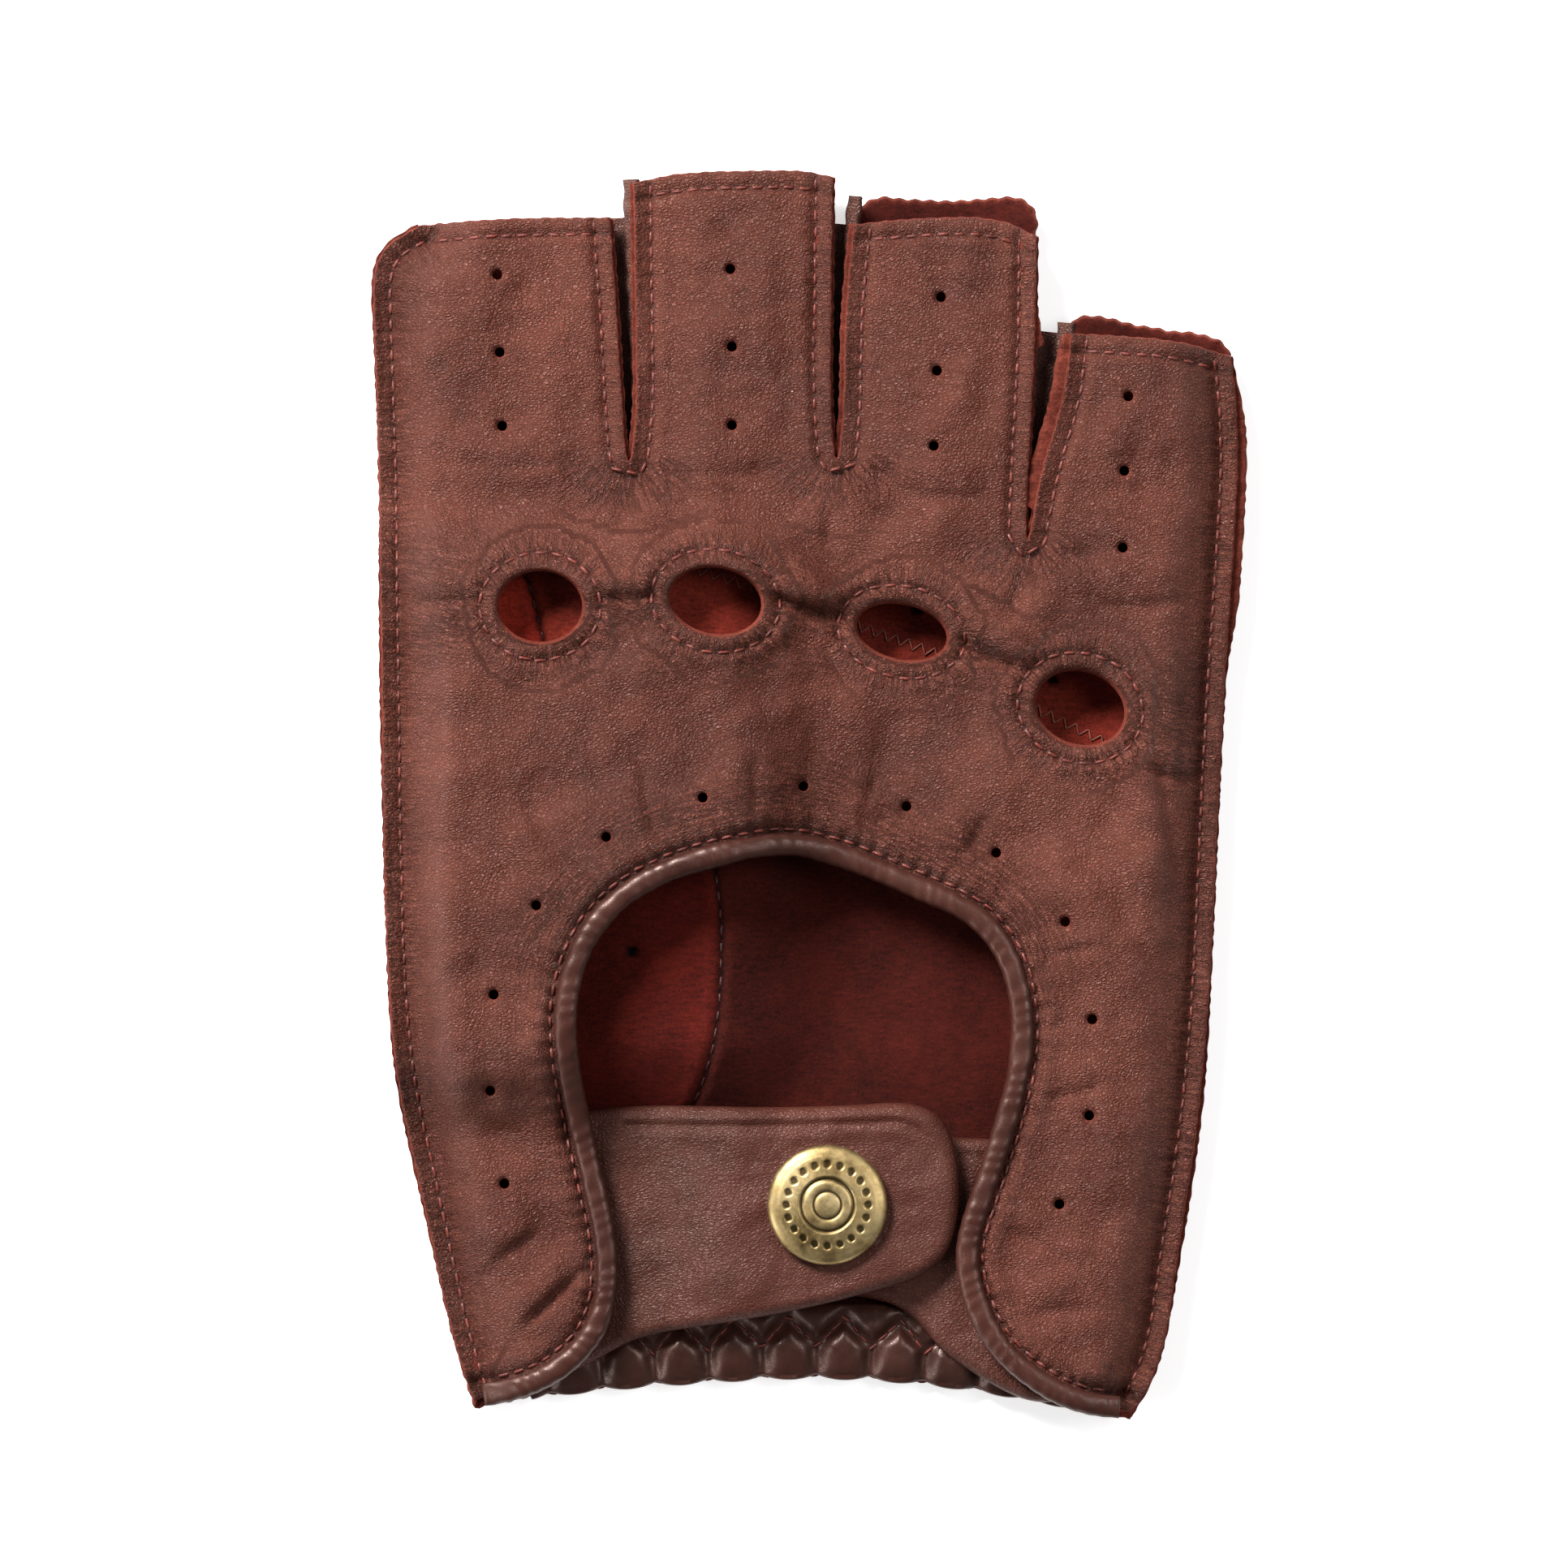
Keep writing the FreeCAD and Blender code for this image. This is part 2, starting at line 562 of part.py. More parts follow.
def plane_of(body, role):
    for item in body.Origin.OriginFeatures:
        if item.Role == role:
            return item
    raise RuntimeError("no plane " + role)


def revolved_body(label, corners, x, y, level):
    """Body turned about Z. Each corner is (radius alias, height alias); None means on the axis or the base."""
    body = doc.addObject("PartDesign::Body", label)
    body.Label = label
    sketch = body.newObject("Sketcher::SketchObject", label + "_profile")
    sketch.AttachmentSupport = [(plane_of(body, "XZ_Plane"), "")]
    sketch.MapMode = "FlatFace"
    spots = [Vector(dim(r) if r else 0, dim(h) if h else 0, 0) for r, h in corners]
    count = len(spots)
    for i in range(count):
        sketch.addGeometry(Part.LineSegment(spots[i], spots[(i + 1) % count]), False)
    for i in range(count):
        sketch.addConstraint(Sketcher.Constraint("Coincident", i, 2, (i + 1) % count, 1))
    for i, (radius, height) in enumerate(corners):
        if radius:
            index = sketch.addConstraint(Sketcher.Constraint("DistanceX", -1, 1, i, 1, spots[i].x))
            sketch.setExpression("Constraints[%d]" % index, "Dimensions." + radius)
        else:
            sketch.addConstraint(Sketcher.Constraint("PointOnObject", i, 1, -2))
        if height:
            index = sketch.addConstraint(Sketcher.Constraint("DistanceY", -1, 1, i, 1, spots[i].y))
            sketch.setExpression("Constraints[%d]" % index, "Dimensions." + height)
        else:
            sketch.addConstraint(Sketcher.Constraint("PointOnObject", i, 1, -1))
    turned = body.newObject("PartDesign::Revolution", label + "_turned")
    turned.Profile = sketch
    turned.ReferenceAxis = (sketch, ["V_Axis"])
    turned.Angle = 360.0
    body.Tip = turned
    body.Placement = Placement(Vector(x, y, level), Rotation())
    nodes.append(body)
    return body


strap_bottom = dim("strap_level")
strap_top = strap_bottom + 2 * dim("lining_leather")
tab_bottom = dim("tab_level")
tab_top = tab_bottom + 2 * dim("lining_leather")

revolved_body("snap_cap", [
    (None, None), ("cap_rivet_radius", None), ("cap_rivet_radius", "cap_rivet_length"),
    ("cap_radius", "cap_rivet_length"), ("cap_radius", "cap_rim_level"),
    ("cap_edge_radius", "cap_shoulder_level"), ("cap_ring_outer", "cap_ring_level"),
    ("cap_ring_outer", "cap_groove_level"), ("cap_ring_inner", "cap_groove_level"),
    ("cap_ring_inner", "cap_top_level"), (None, "cap_top_level"),
], snap_x, snap_y, strap_top - dim("cap_rivet_length"))

revolved_body("snap_socket", [
    ("socket_bore", None), ("socket_lip_radius", None), ("socket_radius", "socket_lip_level"),
    ("socket_radius", "socket_depth"), ("socket_eye", "socket_depth"), ("socket_eye", "socket_plate_level"),
    ("socket_bore", "socket_plate_level"),
], snap_x, snap_y, strap_bottom - dim("socket_depth"))

revolved_body("snap_stud", [
    ("stud_bore", None), ("stud_flange_radius", None), ("stud_flange_radius", "stud_flange_level"),
    ("stud_neck_radius", "stud_flange_level"), ("stud_neck_radius", "stud_neck_level"),
    ("stud_head_radius", "stud_head_level"), ("stud_head_radius", "stud_crown_level"),
    ("stud_neck_radius", "stud_top_level"), ("stud_bore", "stud_top_level"),
], snap_x, snap_y, tab_top)

revolved_body("snap_post", [
    (None, None), ("post_flange_radius", None), ("post_flange_radius", "post_flange_level"),
    ("post_barrel_radius", "post_flange_level"), ("post_barrel_radius", "post_top_level"),
    (None, "post_top_level"),
], snap_x, snap_y, tab_bottom - dim("post_flange_level"))

spring = doc.addObject("Part::Torus", "snap_spring")
spring.Label = "snap_spring"
spring.setExpression("Radius1", "Dimensions.spring_radius")
spring.setExpression("Radius2", "Dimensions.spring_wire")
spring.Placement = Placement(Vector(snap_x, snap_y, strap_bottom - dim("socket_depth") + 0.6), Rotation())
nodes.append(spring)

# ------------------------------------------------------------------ thumb sleeve


def rounded_bar(name, width, length, height, corner, offset):
    """Box along Y with its four long edges rounded, sizes given as expressions."""
    box = doc.addObject("Part::Box", name + "_box")
    box.setExpression("Length", width)
    box.setExpression("Width", length)
    box.setExpression("Height", height)
    box.Placement = Placement(offset, Rotation())
    doc.recompute()
    fillet = doc.addObject("Part::Fillet", name)
    fillet.Base = box
    radius = corner
    long_edges = []
    for index, edge in enumerate(box.Shape.Edges, start=1):
        if abs(edge.tangentAt(edge.FirstParameter).y) > 0.9:
            long_edges.append((index, radius, radius))
    fillet.Edges = long_edges
    return fillet


wall = dim("sleeve_wall")
sleeve_origin = Vector(dim("sleeve_left"), dim("sleeve_root"), 0)
sleeve_outer = rounded_bar("sleeve_outer", "Dimensions.sleeve_width", "Dimensions.sleeve_length",
                           "Dimensions.sleeve_height", dim("sleeve_corner"), sleeve_origin)
sleeve_inner = rounded_bar("sleeve_inner", "Dimensions.sleeve_width - 2 * Dimensions.sleeve_wall",
                           "Dimensions.sleeve_length + 4", "Dimensions.sleeve_height - 2 * Dimensions.sleeve_wall",
                           dim("sleeve_corner") - wall, sleeve_origin + Vector(wall, -2, wall))
sleeve = doc.addObject("Part::Cut", "thumb_sleeve")
sleeve.Label = "thumb_sleeve"
sleeve.Base = sleeve_outer
sleeve.Tool = sleeve_inner
nodes.append(sleeve)

# ------------------------------------------------------------------ checks and export

doc.recompute()
for item in doc.Objects:
    if "Invalid" in item.State or "Error" in item.State:
        raise RuntimeError("%s did not compute: %s" % (item.Label, item.State))

for node in nodes:
    shape = node.Shape
    if shape.isNull() or not shape.isValid() or len(shape.Solids) != 1 or shape.Volume <= 0:
        raise RuntimeError("%s is not one valid solid" % node.Label)
    print("%-26s %9.1f mm3  faces %d" % (node.Label, shape.Volume, len(shape.Faces)))

for node in nodes:
    node.Shape.exportStep("parts/%s.step" % node.Label)
box = nodes[0].Shape.optimalBoundingBox(True, False)
for node in nodes[1:]:
    box.add(node.Shape.optimalBoundingBox(True, False))
print("overall box", box)
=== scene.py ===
import json
import math
import bpy
import numpy as np
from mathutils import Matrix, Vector
from mathutils.geometry import delaunay_2d_cdt


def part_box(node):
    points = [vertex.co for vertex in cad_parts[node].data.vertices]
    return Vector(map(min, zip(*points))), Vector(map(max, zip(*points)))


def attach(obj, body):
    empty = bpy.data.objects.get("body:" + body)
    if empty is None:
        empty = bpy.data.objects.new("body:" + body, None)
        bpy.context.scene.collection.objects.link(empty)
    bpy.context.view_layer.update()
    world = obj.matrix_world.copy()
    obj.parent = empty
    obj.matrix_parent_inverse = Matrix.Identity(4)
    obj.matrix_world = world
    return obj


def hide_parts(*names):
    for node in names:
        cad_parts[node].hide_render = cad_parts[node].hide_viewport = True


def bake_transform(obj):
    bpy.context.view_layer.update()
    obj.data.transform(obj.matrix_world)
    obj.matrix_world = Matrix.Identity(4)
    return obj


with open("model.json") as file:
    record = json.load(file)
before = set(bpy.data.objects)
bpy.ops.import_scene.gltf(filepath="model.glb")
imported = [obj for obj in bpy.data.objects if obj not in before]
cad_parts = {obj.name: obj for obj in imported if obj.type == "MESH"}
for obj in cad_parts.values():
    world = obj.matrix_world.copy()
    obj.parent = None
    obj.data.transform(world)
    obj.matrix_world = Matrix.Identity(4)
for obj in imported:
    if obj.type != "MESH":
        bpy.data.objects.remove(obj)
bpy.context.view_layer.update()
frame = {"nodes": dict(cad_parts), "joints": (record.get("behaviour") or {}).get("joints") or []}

MM = 0.001

# ---------------------------------------------------------------- plan outlines, in millimetres

LEFT_SEAM = [(-41.3, -76.6), (-44.0, -68.0), (-47.4, -52.7), (-50.6, -37.5), (-52.1, -22.3),
             (-52.7, 0.0), (-53.1, 28.4), (-54.0, 60.0), (-53.0, 67.8), (-48.4, 71.2)]
INDEX_TIP = [(-48.4, 71.2), (-36.0, 72.0), (-24.4, 72.1)]
FORK_INDEX = [(-24.4, 72.1), (-23.3, 56.0), (-22.7, 46.0), (-22.1, 41.6), (-21.4, 46.0), (-21.2, 56.0),
              (-21.5, 76.4)]
MIDDLE_TIP = [(-21.5, 76.4), (-17.0, 77.4), (-8.0, 77.9), (0.4, 77.8), (3.4, 77.2)]
FORK_MIDDLE = [(3.4, 77.2), (3.2, 60.0), (3.3, 47.0), (3.9, 42.0), (4.6, 47.0), (4.9, 58.0), (6.0, 71.3)]
RING_TIP = [(6.0, 71.3), (17.0, 72.1), (25.0, 71.5), (28.8, 69.8)]
FORK_RING = [(28.8, 69.8), (28.5, 53.0), (27.8, 40.0), (27.7, 31.9), (29.4, 40.0), (31.8, 48.5), (33.1, 57.6)]
LITTLE_TIP = [(33.1, 57.6), (41.0, 57.2), (48.0, 56.3), (53.2, 54.9)]
RING_PALM_TIP = [(6.0, 71.3), (7.6, 74.2), (13.0, 74.6), (20.0, 74.5), (28.2, 73.9), (28.8, 69.8)]
LITTLE_PALM_TIP = [(33.1, 57.6), (33.6, 59.3), (41.0, 59.0), (47.0, 58.0), (52.2, 56.6), (53.2, 54.9)]
RIGHT_SEAM = [(53.2, 54.9), (54.0, 46.0), (53.6, 32.0), (52.3, 12.0), (51.2, -10.0), (50.3, -27.0),
              (48.6, -44.0), (46.2, -60.0), (43.7, -72.0), (40.4, -78.0)]
WRIST_HEM = [(40.4, -78.0), (30.0, -75.8), (15.0, -73.5), (0.0, -72.7), (-15.0, -73.4), (-31.5, -74.9),
             (-41.3, -76.6)]
CUTOUT_EDGE = [(40.4, -78.0), (34.5, -77.2), (28.0, -74.1), (22.8, -69.3), (19.7, -63.0), (18.8, -57.0),
               (20.2, -51.0), (23.5, -41.0), (25.5, -32.0), (25.1, -24.3), (21.4, -17.2), (14.0, -13.1),
               (6.0, -9.7), (-2.0, -7.6), (-10.5, -8.8), (-19.0, -11.9), (-25.4, -17.6), (-28.4, -27.0),
               (-27.5, -37.0), (-24.9, -49.0), (-23.4, -58.0), (-24.9, -66.9), (-30.0, -72.7), (-36.0, -75.5),
               (-41.3, -76.6)]
GUSSET_SEAM = [(-53.2, 31.0), (-44.0, 31.2), (-36.5, 29.5), (-33.4, 22.0), (-29.0, 11.0), (-20.0, 2.0),
               (-13.2, -4.5), (-10.9, -12.0), (-10.6, -22.3), (-11.3, -30.0), (-14.1, -38.7), (-20.5, -47.5),
               (-30.0, -53.5), (-46.8, -55.5)]
STRAP_EDGE = [(-31.0, -40.2), (-22.3, -39.2), (-5.0, -39.2), (8.0, -38.8), (13.6, -38.9), (16.9, -40.8),
              (18.5, -45.0), (18.9, -50.0), (18.4, -54.5), (16.2, -58.4), (11.0, -60.9), (3.9, -62.9),
              (-5.1, -64.8), (-14.2, -66.3), (-21.5, -68.0), (-27.0, -70.8), (-31.0, -72.6)]
UNDER_TAB = [(29.0, -43.6), (22.0, -43.2), (10.0, -42.8), (0.5, -43.0), (-5.4, -46.2), (-7.2, -51.4),
             (-5.2, -57.6), (1.0, -61.4), (7.5, -62.7), (12.6, -64.4), (16.6, -68.6), (22.0, -72.6),
             (28.6, -75.6), (33.0, -75.4)]
HOLES = {
    "index": (-33.0, 23.5, 5.4, 4.6, 0.0),
    "middle": (-11.2, 24.2, 5.9, 4.3, -10.0),
    "ring": (12.0, 20.4, 5.9, 3.6, -12.0),
    "little": (34.3, 10.9, 5.8, 4.7, -18.0),
}
VENTS = [(-38.5, 65.0), (-38.2, 55.3), (-37.9, 46.1), (-9.4, 65.7), (-9.2, 56.0), (-9.2, 46.2),
         (16.9, 62.2), (16.4, 53.0), (16.0, 43.6), (40.3, 49.8), (39.8, 40.5), (39.6, 30.9),
         (-37.6, -48.5), (-39.3, -36.8), (-38.8, -24.8), (-33.5, -13.7), (-24.8, -5.2), (-12.8, -0.3),
         (-0.3, 1.1), (12.6, -1.4), (23.8, -7.2), (32.4, -15.8), (35.8, -28.0), (35.4, -40.0), (31.7, -51.1)]
PALM_VENTS = [(-21.7, -19.5), (14.0, 23.2), (31.0, 14.5)]

# ---------------------------------------------------------------- plan geometry helpers


def spline(points, step=0.4, closed=False):
    """Points every step along a natural cubic through the given points."""
    p = np.array(points, float)
    if len(p) == 2:
        n = max(2, int(np.linalg.norm(p[1] - p[0]) / step) + 1)
        return p[0] + (p[1] - p[0]) * np.linspace(0, 1, n)[:, None]
    if closed:
        p = np.vstack([p[-3:], p, p[:4]])
    t = np.concatenate([[0], np.cumsum(np.linalg.norm(np.diff(p, axis=0), axis=1) ** 0.75)])
    h = np.diff(t)
    n = len(p)
    a = np.zeros((n, n))
    b = np.zeros((n, 2))
    a[0, 0] = a[-1, -1] = 1
    for i in range(1, n - 1):
        a[i, i - 1], a[i, i], a[i, i + 1] = h[i - 1], 2 * (h[i - 1] + h[i]), h[i]
        b[i] = 6 * ((p[i + 1] - p[i]) / h[i] - (p[i] - p[i - 1]) / h[i - 1])
    m = np.linalg.solve(a, b)
    lo, hi = (t[3], t[-4]) if closed else (t[0], t[-1])
    u = np.linspace(lo, hi, 40 * n)
    k = np.clip(np.searchsorted(t, u, side="right") - 1, 0, n - 2)
    f, g, w = (t[k + 1] - u)[:, None], (u - t[k])[:, None], h[k][:, None]
    q = m[k] * f ** 3 / (6 * w) + m[k + 1] * g ** 3 / (6 * w)
    q += (p[k] / w - m[k] * w / 6) * f + (p[k + 1] / w - m[k + 1] * w / 6) * g
    return resample(q, step)


def arc(q):
    return np.concatenate([[0], np.cumsum(np.linalg.norm(np.diff(q, axis=0), axis=1))])


def resample(q, step=None, at=None):
    s = arc(q)
    if at is None:
        at = np.linspace(0, s[-1], max(2, int(round(s[-1] / step)) + 1))
    return np.stack([np.interp(at, s, q[:, i]) for i in range(q.shape[1])], 1)


def normals(q):
    d = np.gradient(q, axis=0)
    d /= np.linalg.norm(d, axis=1)[:, None] + 1e-12
    return np.stack([-d[:, 1], d[:, 0]], 1)


def beside(q, distance, step=0.4):
    """The line at a distance to the left of q, without the loops a tight turn makes."""
    r = q + normals(q) * distance
    keep = nearest(r, q)[0] > abs(distance) * 0.97
    return resample(r[keep], step)


def nearest(points, line, tile=9.0):
    """Distance from each point to the polyline, and the arc length where it is nearest."""
    a, b = line[:-1], line[1:]
    d = b - a
    dd = np.maximum((d * d).sum(1), 1e-12)
    s, length, mid = arc(line)[:-1], np.sqrt(dd), (a + b) / 2
    dist, along = np.zeros(len(points)), np.zeros(len(points))
    cells = np.floor(points / tile).astype(int)
    keys, groups = np.unique(cells[:, 0] * 1000 + cells[:, 1], return_inverse=True)
    order = np.argsort(groups, kind="stable")
    ends = np.cumsum(np.bincount(groups, minlength=len(keys)))
    first = 0
    for end in ends:
        k = order[first:end]
        first = end
        centre = (cells[k[0]] + 0.5) * tile
        away = np.linalg.norm(mid - centre, axis=1) - length / 2
        near = away <= away.min() + length.max() + tile * 1.4143
        p = points[k][:, None, :] - a[near][None]
        t = np.clip((p * d[near][None]).sum(2) / dd[near], 0, 1)
        r = np.linalg.norm(p - t[..., None] * d[near][None], axis=2)
        best = r.argmin(1)
        rows = np.arange(len(k))
        dist[k] = r[rows, best]
        along[k] = s[near][best] + t[rows, best] * length[near][best]
    return dist, along


def inside(points, loop, chunk=4000):
    x0, y0 = loop[:, 0], loop[:, 1]
    x1, y1 = np.roll(x0, -1), np.roll(y0, -1)
    out = []
    for i in range(0, len(points), chunk):
        px, py = points[i:i + chunk, 0][:, None], points[i:i + chunk, 1][:, None]
        cross = (y0 > py) != (y1 > py)
        hit = px < (x1 - x0) * (py - y0) / (y1 - y0 + 1e-15) + x0
        out.append((cross & hit).sum(1) % 2 == 1)
    return np.concatenate(out)


def oval(x, y, a, b, tilt, grow=0.0, step=0.35):
    n = int(2 * math.pi * math.sqrt((a + grow) * (b + grow)) / step)
    u = np.linspace(0, 2 * math.pi, n, endpoint=False)
    c, s = math.cos(math.radians(tilt)), math.sin(math.radians(tilt))
    px, py = (a + grow) * np.cos(u), (b + grow) * np.sin(u)
    return np.stack([x + c * px - s * py, y + s * px + c * py], 1)


def step01(v):
    """Smooth step from 0 to 1."""
    v = np.clip(v, 0, 1)
    return v * v * (3 - 2 * v)


def bell(v, middle, width):
    """Smooth bump of height 1 about the middle."""
    return np.exp(-((v - middle) / width) ** 2)


def closed(loop):
    return np.vstack([loop, loop[:1]])


def radius_from(p, centre):
    return np.hypot(p[:, 0] - centre[0], p[:, 1] - centre[1])


def waves(p, scale, seed, count=9):
    """Smooth seeded noise of about unit size from a few crossed waves."""
    r = np.random.default_rng(seed)
    out = np.zeros(len(p))
    for _ in range(count):
        angle, phase, k = r.uniform(0, math.pi * 2), r.uniform(0, math.pi * 2), r.uniform(0.6, 1.5)
        v = p @ np.array([math.cos(angle), math.sin(angle)]) * (2 * math.pi * k / scale) + phase
        out += np.sin(v + 1.3 * np.sin(v * 0.37 + phase))
    return out / math.sqrt(count)


# ---------------------------------------------------------------- heights, in millimetres

PITCH = 1.92          # from one stitch to the next
LEATHER = 0.85        # the back leather as it is seen
PALM = 0.8            # the palm leather
BACK = 0.9            # the back leather's share of the stack
SHEET_GAP = 0.25      # between the two at the seams
REST_GAP = 0.05       # between the palm and the floor
SEAM_RISE = 2.2       # of the sewn edge above the floor
THUMB_LIFT = 6.6      # of the palm over the folded thumb
HAND_ROOM = 5.4       # between palm and back
FORK_ROOM = 2.6       # of the finger walls
STITCH_INSET = 2.1    # from a sewn edge to its stitches
left_line, right_line = spline(LEFT_SEAM), spline(RIGHT_SEAM)
fork_lines = [spline(f) for f in (FORK_INDEX, FORK_MIDDLE, FORK_RING)]
tip_lines = [spline(t) for t in (INDEX_TIP, MIDDLE_TIP, RING_TIP, LITTLE_TIP)]
cut_line = spline(CUTOUT_EDGE)
gusset_line = spline(GUSSET_SEAM)
hem_line = spline(WRIST_HEM)
SIDES = [left_line, right_line]
SEAMS = SIDES + fork_lines


def stitch_beat(s):
    return np.cos(2 * math.pi * s / PITCH)


def seam_field(p):
    """Distance to the nearest sewn edge, and the arc length along it."""
    found = [nearest(p, line) for line in SEAMS]
    d = np.stack([f[0] for f in found])
    s = np.stack([f[1] + 7.3 * i for i, f in enumerate(found)])
    k = d.argmin(0)
    rows = np.arange(len(p))
    return d[k, rows], s[k, rows], d[:2].min(0), k


def lift(p):
    across = 1 - step01((p[:, 0] + 11.5) / 16)
    along = step01((p[:, 1] + 44) / 14) * (1 - step01((p[:, 1] - 26) / 12))
    return THUMB_LIFT * across * along


def pucker(d, s):
    """How the sewn flange ripples between its stitches, and turns up at its raw edge."""
    beat = stitch_beat(s) * (0.6 + 0.4 * np.sin(0.83 * s + 1.1 * np.sin(0.29 * s)))
    slow = 0.5 + 0.5 * np.sin(s * 0.21 + 1.7 * np.sin(s * 0.083))
    ripple = 0.09 * beat * bell(d, 0.9, 1.0)
    pinch = -(0.40 - 0.12 * beat) * bell(d, STITCH_INSET, 0.40)
    puff = (0.24 + 0.10 * beat) * bell(d, 3.5, 0.9)
    curl = (0.20 + 0.40 * slow) * step01(1 - d / 1.3)
    return ripple + pinch + puff + curl


def base_heights(p):
    d, s, side, which = seam_field(p)
    raised = lift(p)
    flat = np.sin(math.pi / 2 * np.clip((d - 2.6) / 7.0, 0, 1))
    low = REST_GAP + raised + SEAM_RISE * (1 - raised / THUMB_LIFT) * (1 - flat)
    wall = FORK_ROOM * step01((side - 4) / 8)
    room = HAND_ROOM * flat + wall * (1 - flat)
    return low, room, d, s, which


def palm_top(p):
    low, _, d, s, which = base_heights(p)
    g = nearest(p, gusset_line)[0]
    z = low + PALM + 0.10 * waves(p, 9, 3) + 0.05 * waves(p, 3.1, 4)
    z -= 0.5 * step01((0.9 - np.min([radius_from(p, vent) for vent in PALM_VENTS], 0)) / 0.4)
    z += -0.32 * bell(g, 0, 0.45) + 0.22 * bell(g, 1.3, 0.7)
    flange = bell(d, 0, 3.2)
    return z * (1 - flange) + (low + PALM) * flange + 0.6 * pucker(d, s) * (d < 3.2) * (which < 2)


# (points, depth, width, ridge): a fold runs along the points, with a broad ridge on its left
FOLDS = [
    ([(-6.0, 26.0), (-1.0, 23.4), (3.0, 22.4), (7.2, 22.6)], 1.5, 1.5, 1.5),
    ([(17.4, 20.6), (22.6, 17.6), (26.0, 16.2), (30.0, 15.2)], 1.5, 1.5, 1.5),
    ([(-27.2, 24.6), (-22.0, 24.4), (-16.8, 25.4)], 0.9, 1.2, 0.8),
    ([(-51.0, 24.4), (-45.0, 24.0), (-39.0, 24.6)], 0.7, 1.2, 0.6),
    ([(-22.1, 39.6), (-22.6, 35.0), (-24.5, 30.0)], 0.35, 1.6, 0.6),
    ([(-22.0, 39.6), (-20.0, 35.5), (-16.6, 32.4)], 0.3, 1.2, 0.4),
    ([(-22.4, 39.4), (-26.4, 36.0), (-31.5, 33.8)], 0.3, 1.2, 0.4),
    ([(3.9, 40.0), (3.2, 35.0), (2.4, 30.0)], 0.35, 1.6, 0.6),
    ([(4.2, 40.0), (7.4, 36.1), (12.4, 33.2)], 0.35, 1.2, 0.4),
    ([(3.6, 40.0), (0.0, 37.0), (-4.6, 35.6)], 0.3, 1.2, 0.3),
    ([(27.7, 30.0), (26.8, 25.5), (25.0, 21.0)], 0.45, 1.6, 0.7),
    ([(27.9, 30.0), (30.8, 26.0), (35.0, 22.4)], 0.4, 1.3, 0.5),
    ([(27.4, 30.2), (23.0, 27.6), (17.2, 27.0)], 0.3, 1.2, 0.4),
    ([(-36.6, -67.8), (-31.5, -62.8), (-26.0, -57.8)], 1.0, 1.3, 0.8),
    ([(-42.5, -62.6), (-37.6, -57.6), (-31.0, -53.0)], 0.5, 1.4, 0.4),
    ([(-48.6, -3.0), (-47.8, -26.0), (-45.8, -44.0), (-41.6, -64.0)], 0.6, 1.8, 0.9),
    ([(44.8, -25.5), (38.0, -12.0), (29.0, -1.2)], 0.35, 2.4, 0.95),
    ([(47.4, -14.0), (45.0, -2.0), (43.6, 11.0)], 0.5, 1.8, 0.6),
    ([(-46.8, 20.0), (-46.2, 8.0), (-47.2, -4.0)], 0.5, 1.8, 0.5),
    ([(-27.5, -10.8), (-32.0, -6.0), (-35.6, 2.0)], 0.6, 1.3, 0.5),
    ([(-17.5, -7.2), (-19.6, -1.5), (-20.6, 6.0)], 0.4, 1.1, 0.35),
    ([(-6.0, -3.6), (-6.4, 1.0), (-6.0, 7.0)], 0.35, 1.1, 0.3),
    ([(6.6, -5.8), (7.6, -1.6), (9.2, 4.0)], 0.4, 1.1, 0.35),
    ([(18.6, -10.4), (21.0, -5.6), (24.6, 0.0)], 0.5, 1.2, 0.4),
    ([(27.6, -21.6), (33.0, -19.4), (40.0, -19.0)], 0.4, 1.2, 0.35),
    ([(28.0, -38.0), (32.4, -37.6), (39.0, -35.6)], 0.35, 1.1, 0.3),
    ([(23.4, -53.6), (28.4, -55.6), (35.4, -60.4)], 0.5, 1.3, 0.4),
    ([(25.4, -66.2), (31.0, -64.4), (39.0, -64.6)], 0.4, 1.3, 0.4),
    ([(-47.6, 43.0), (-36.0, 41.0), (-26.4, 42.4)], 0.35, 1.5, 0.4),
    ([(-18.6, 41.6), (-9.0, 40.0), (0.4, 41.8)], 0.35, 1.5, 0.4),
    ([(8.0, 39.0), (16.6, 37.2), (25.0, 38.2)], 0.35, 1.5, 0.4),
    ([(32.6, 25.6), (40.0, 23.6), (50.0, 25.0)], 0.45, 1.5, 0.5),
    ([(40.6, 4.6), (45.4, 2.4), (51.0, 1.6)], 0.5, 1.2, 0.4),
    ([(37.6, 2.6), (41.0, -3.0), (45.0, -7.0)], 0.4, 1.2, 0.4),
]
fold_lines = [(spline(f[0], 0.8), f[1], f[2], f[3]) for f in FOLDS]


def folds(p):
    z = np.zeros(len(p))
    for line, depth, width, ridge in fold_lines:
        lo, hi = line.min(0) - 9, line.max(0) + 9
        near = np.where(((p > lo) & (p < hi)).all(1))[0]
        if not len(near):
            continue
        q = p[near]
        d, s = nearest(q, line)
        total = arc(line)[-1]
        end = np.minimum(step01(s / (0.35 * total)), step01((total - s) / (0.35 * total)))
        mid = resample(line, at=s)
        ahead = resample(line, at=np.minimum(s + 0.5, total))
        back = resample(line, at=np.maximum(s - 0.5, 0))
        t = ahead - back
        side = np.sign(t[:, 0] * (q - mid)[:, 1] - t[:, 1] * (q - mid)[:, 0])
        z[near] += end * (ridge * np.exp(-((d - 1.9 * width) / (1.5 * width)) ** 2) * (0.55 + 0.45 * side)
                          - depth * np.exp(-(d / (0.5 * width)) ** 2))
    return z


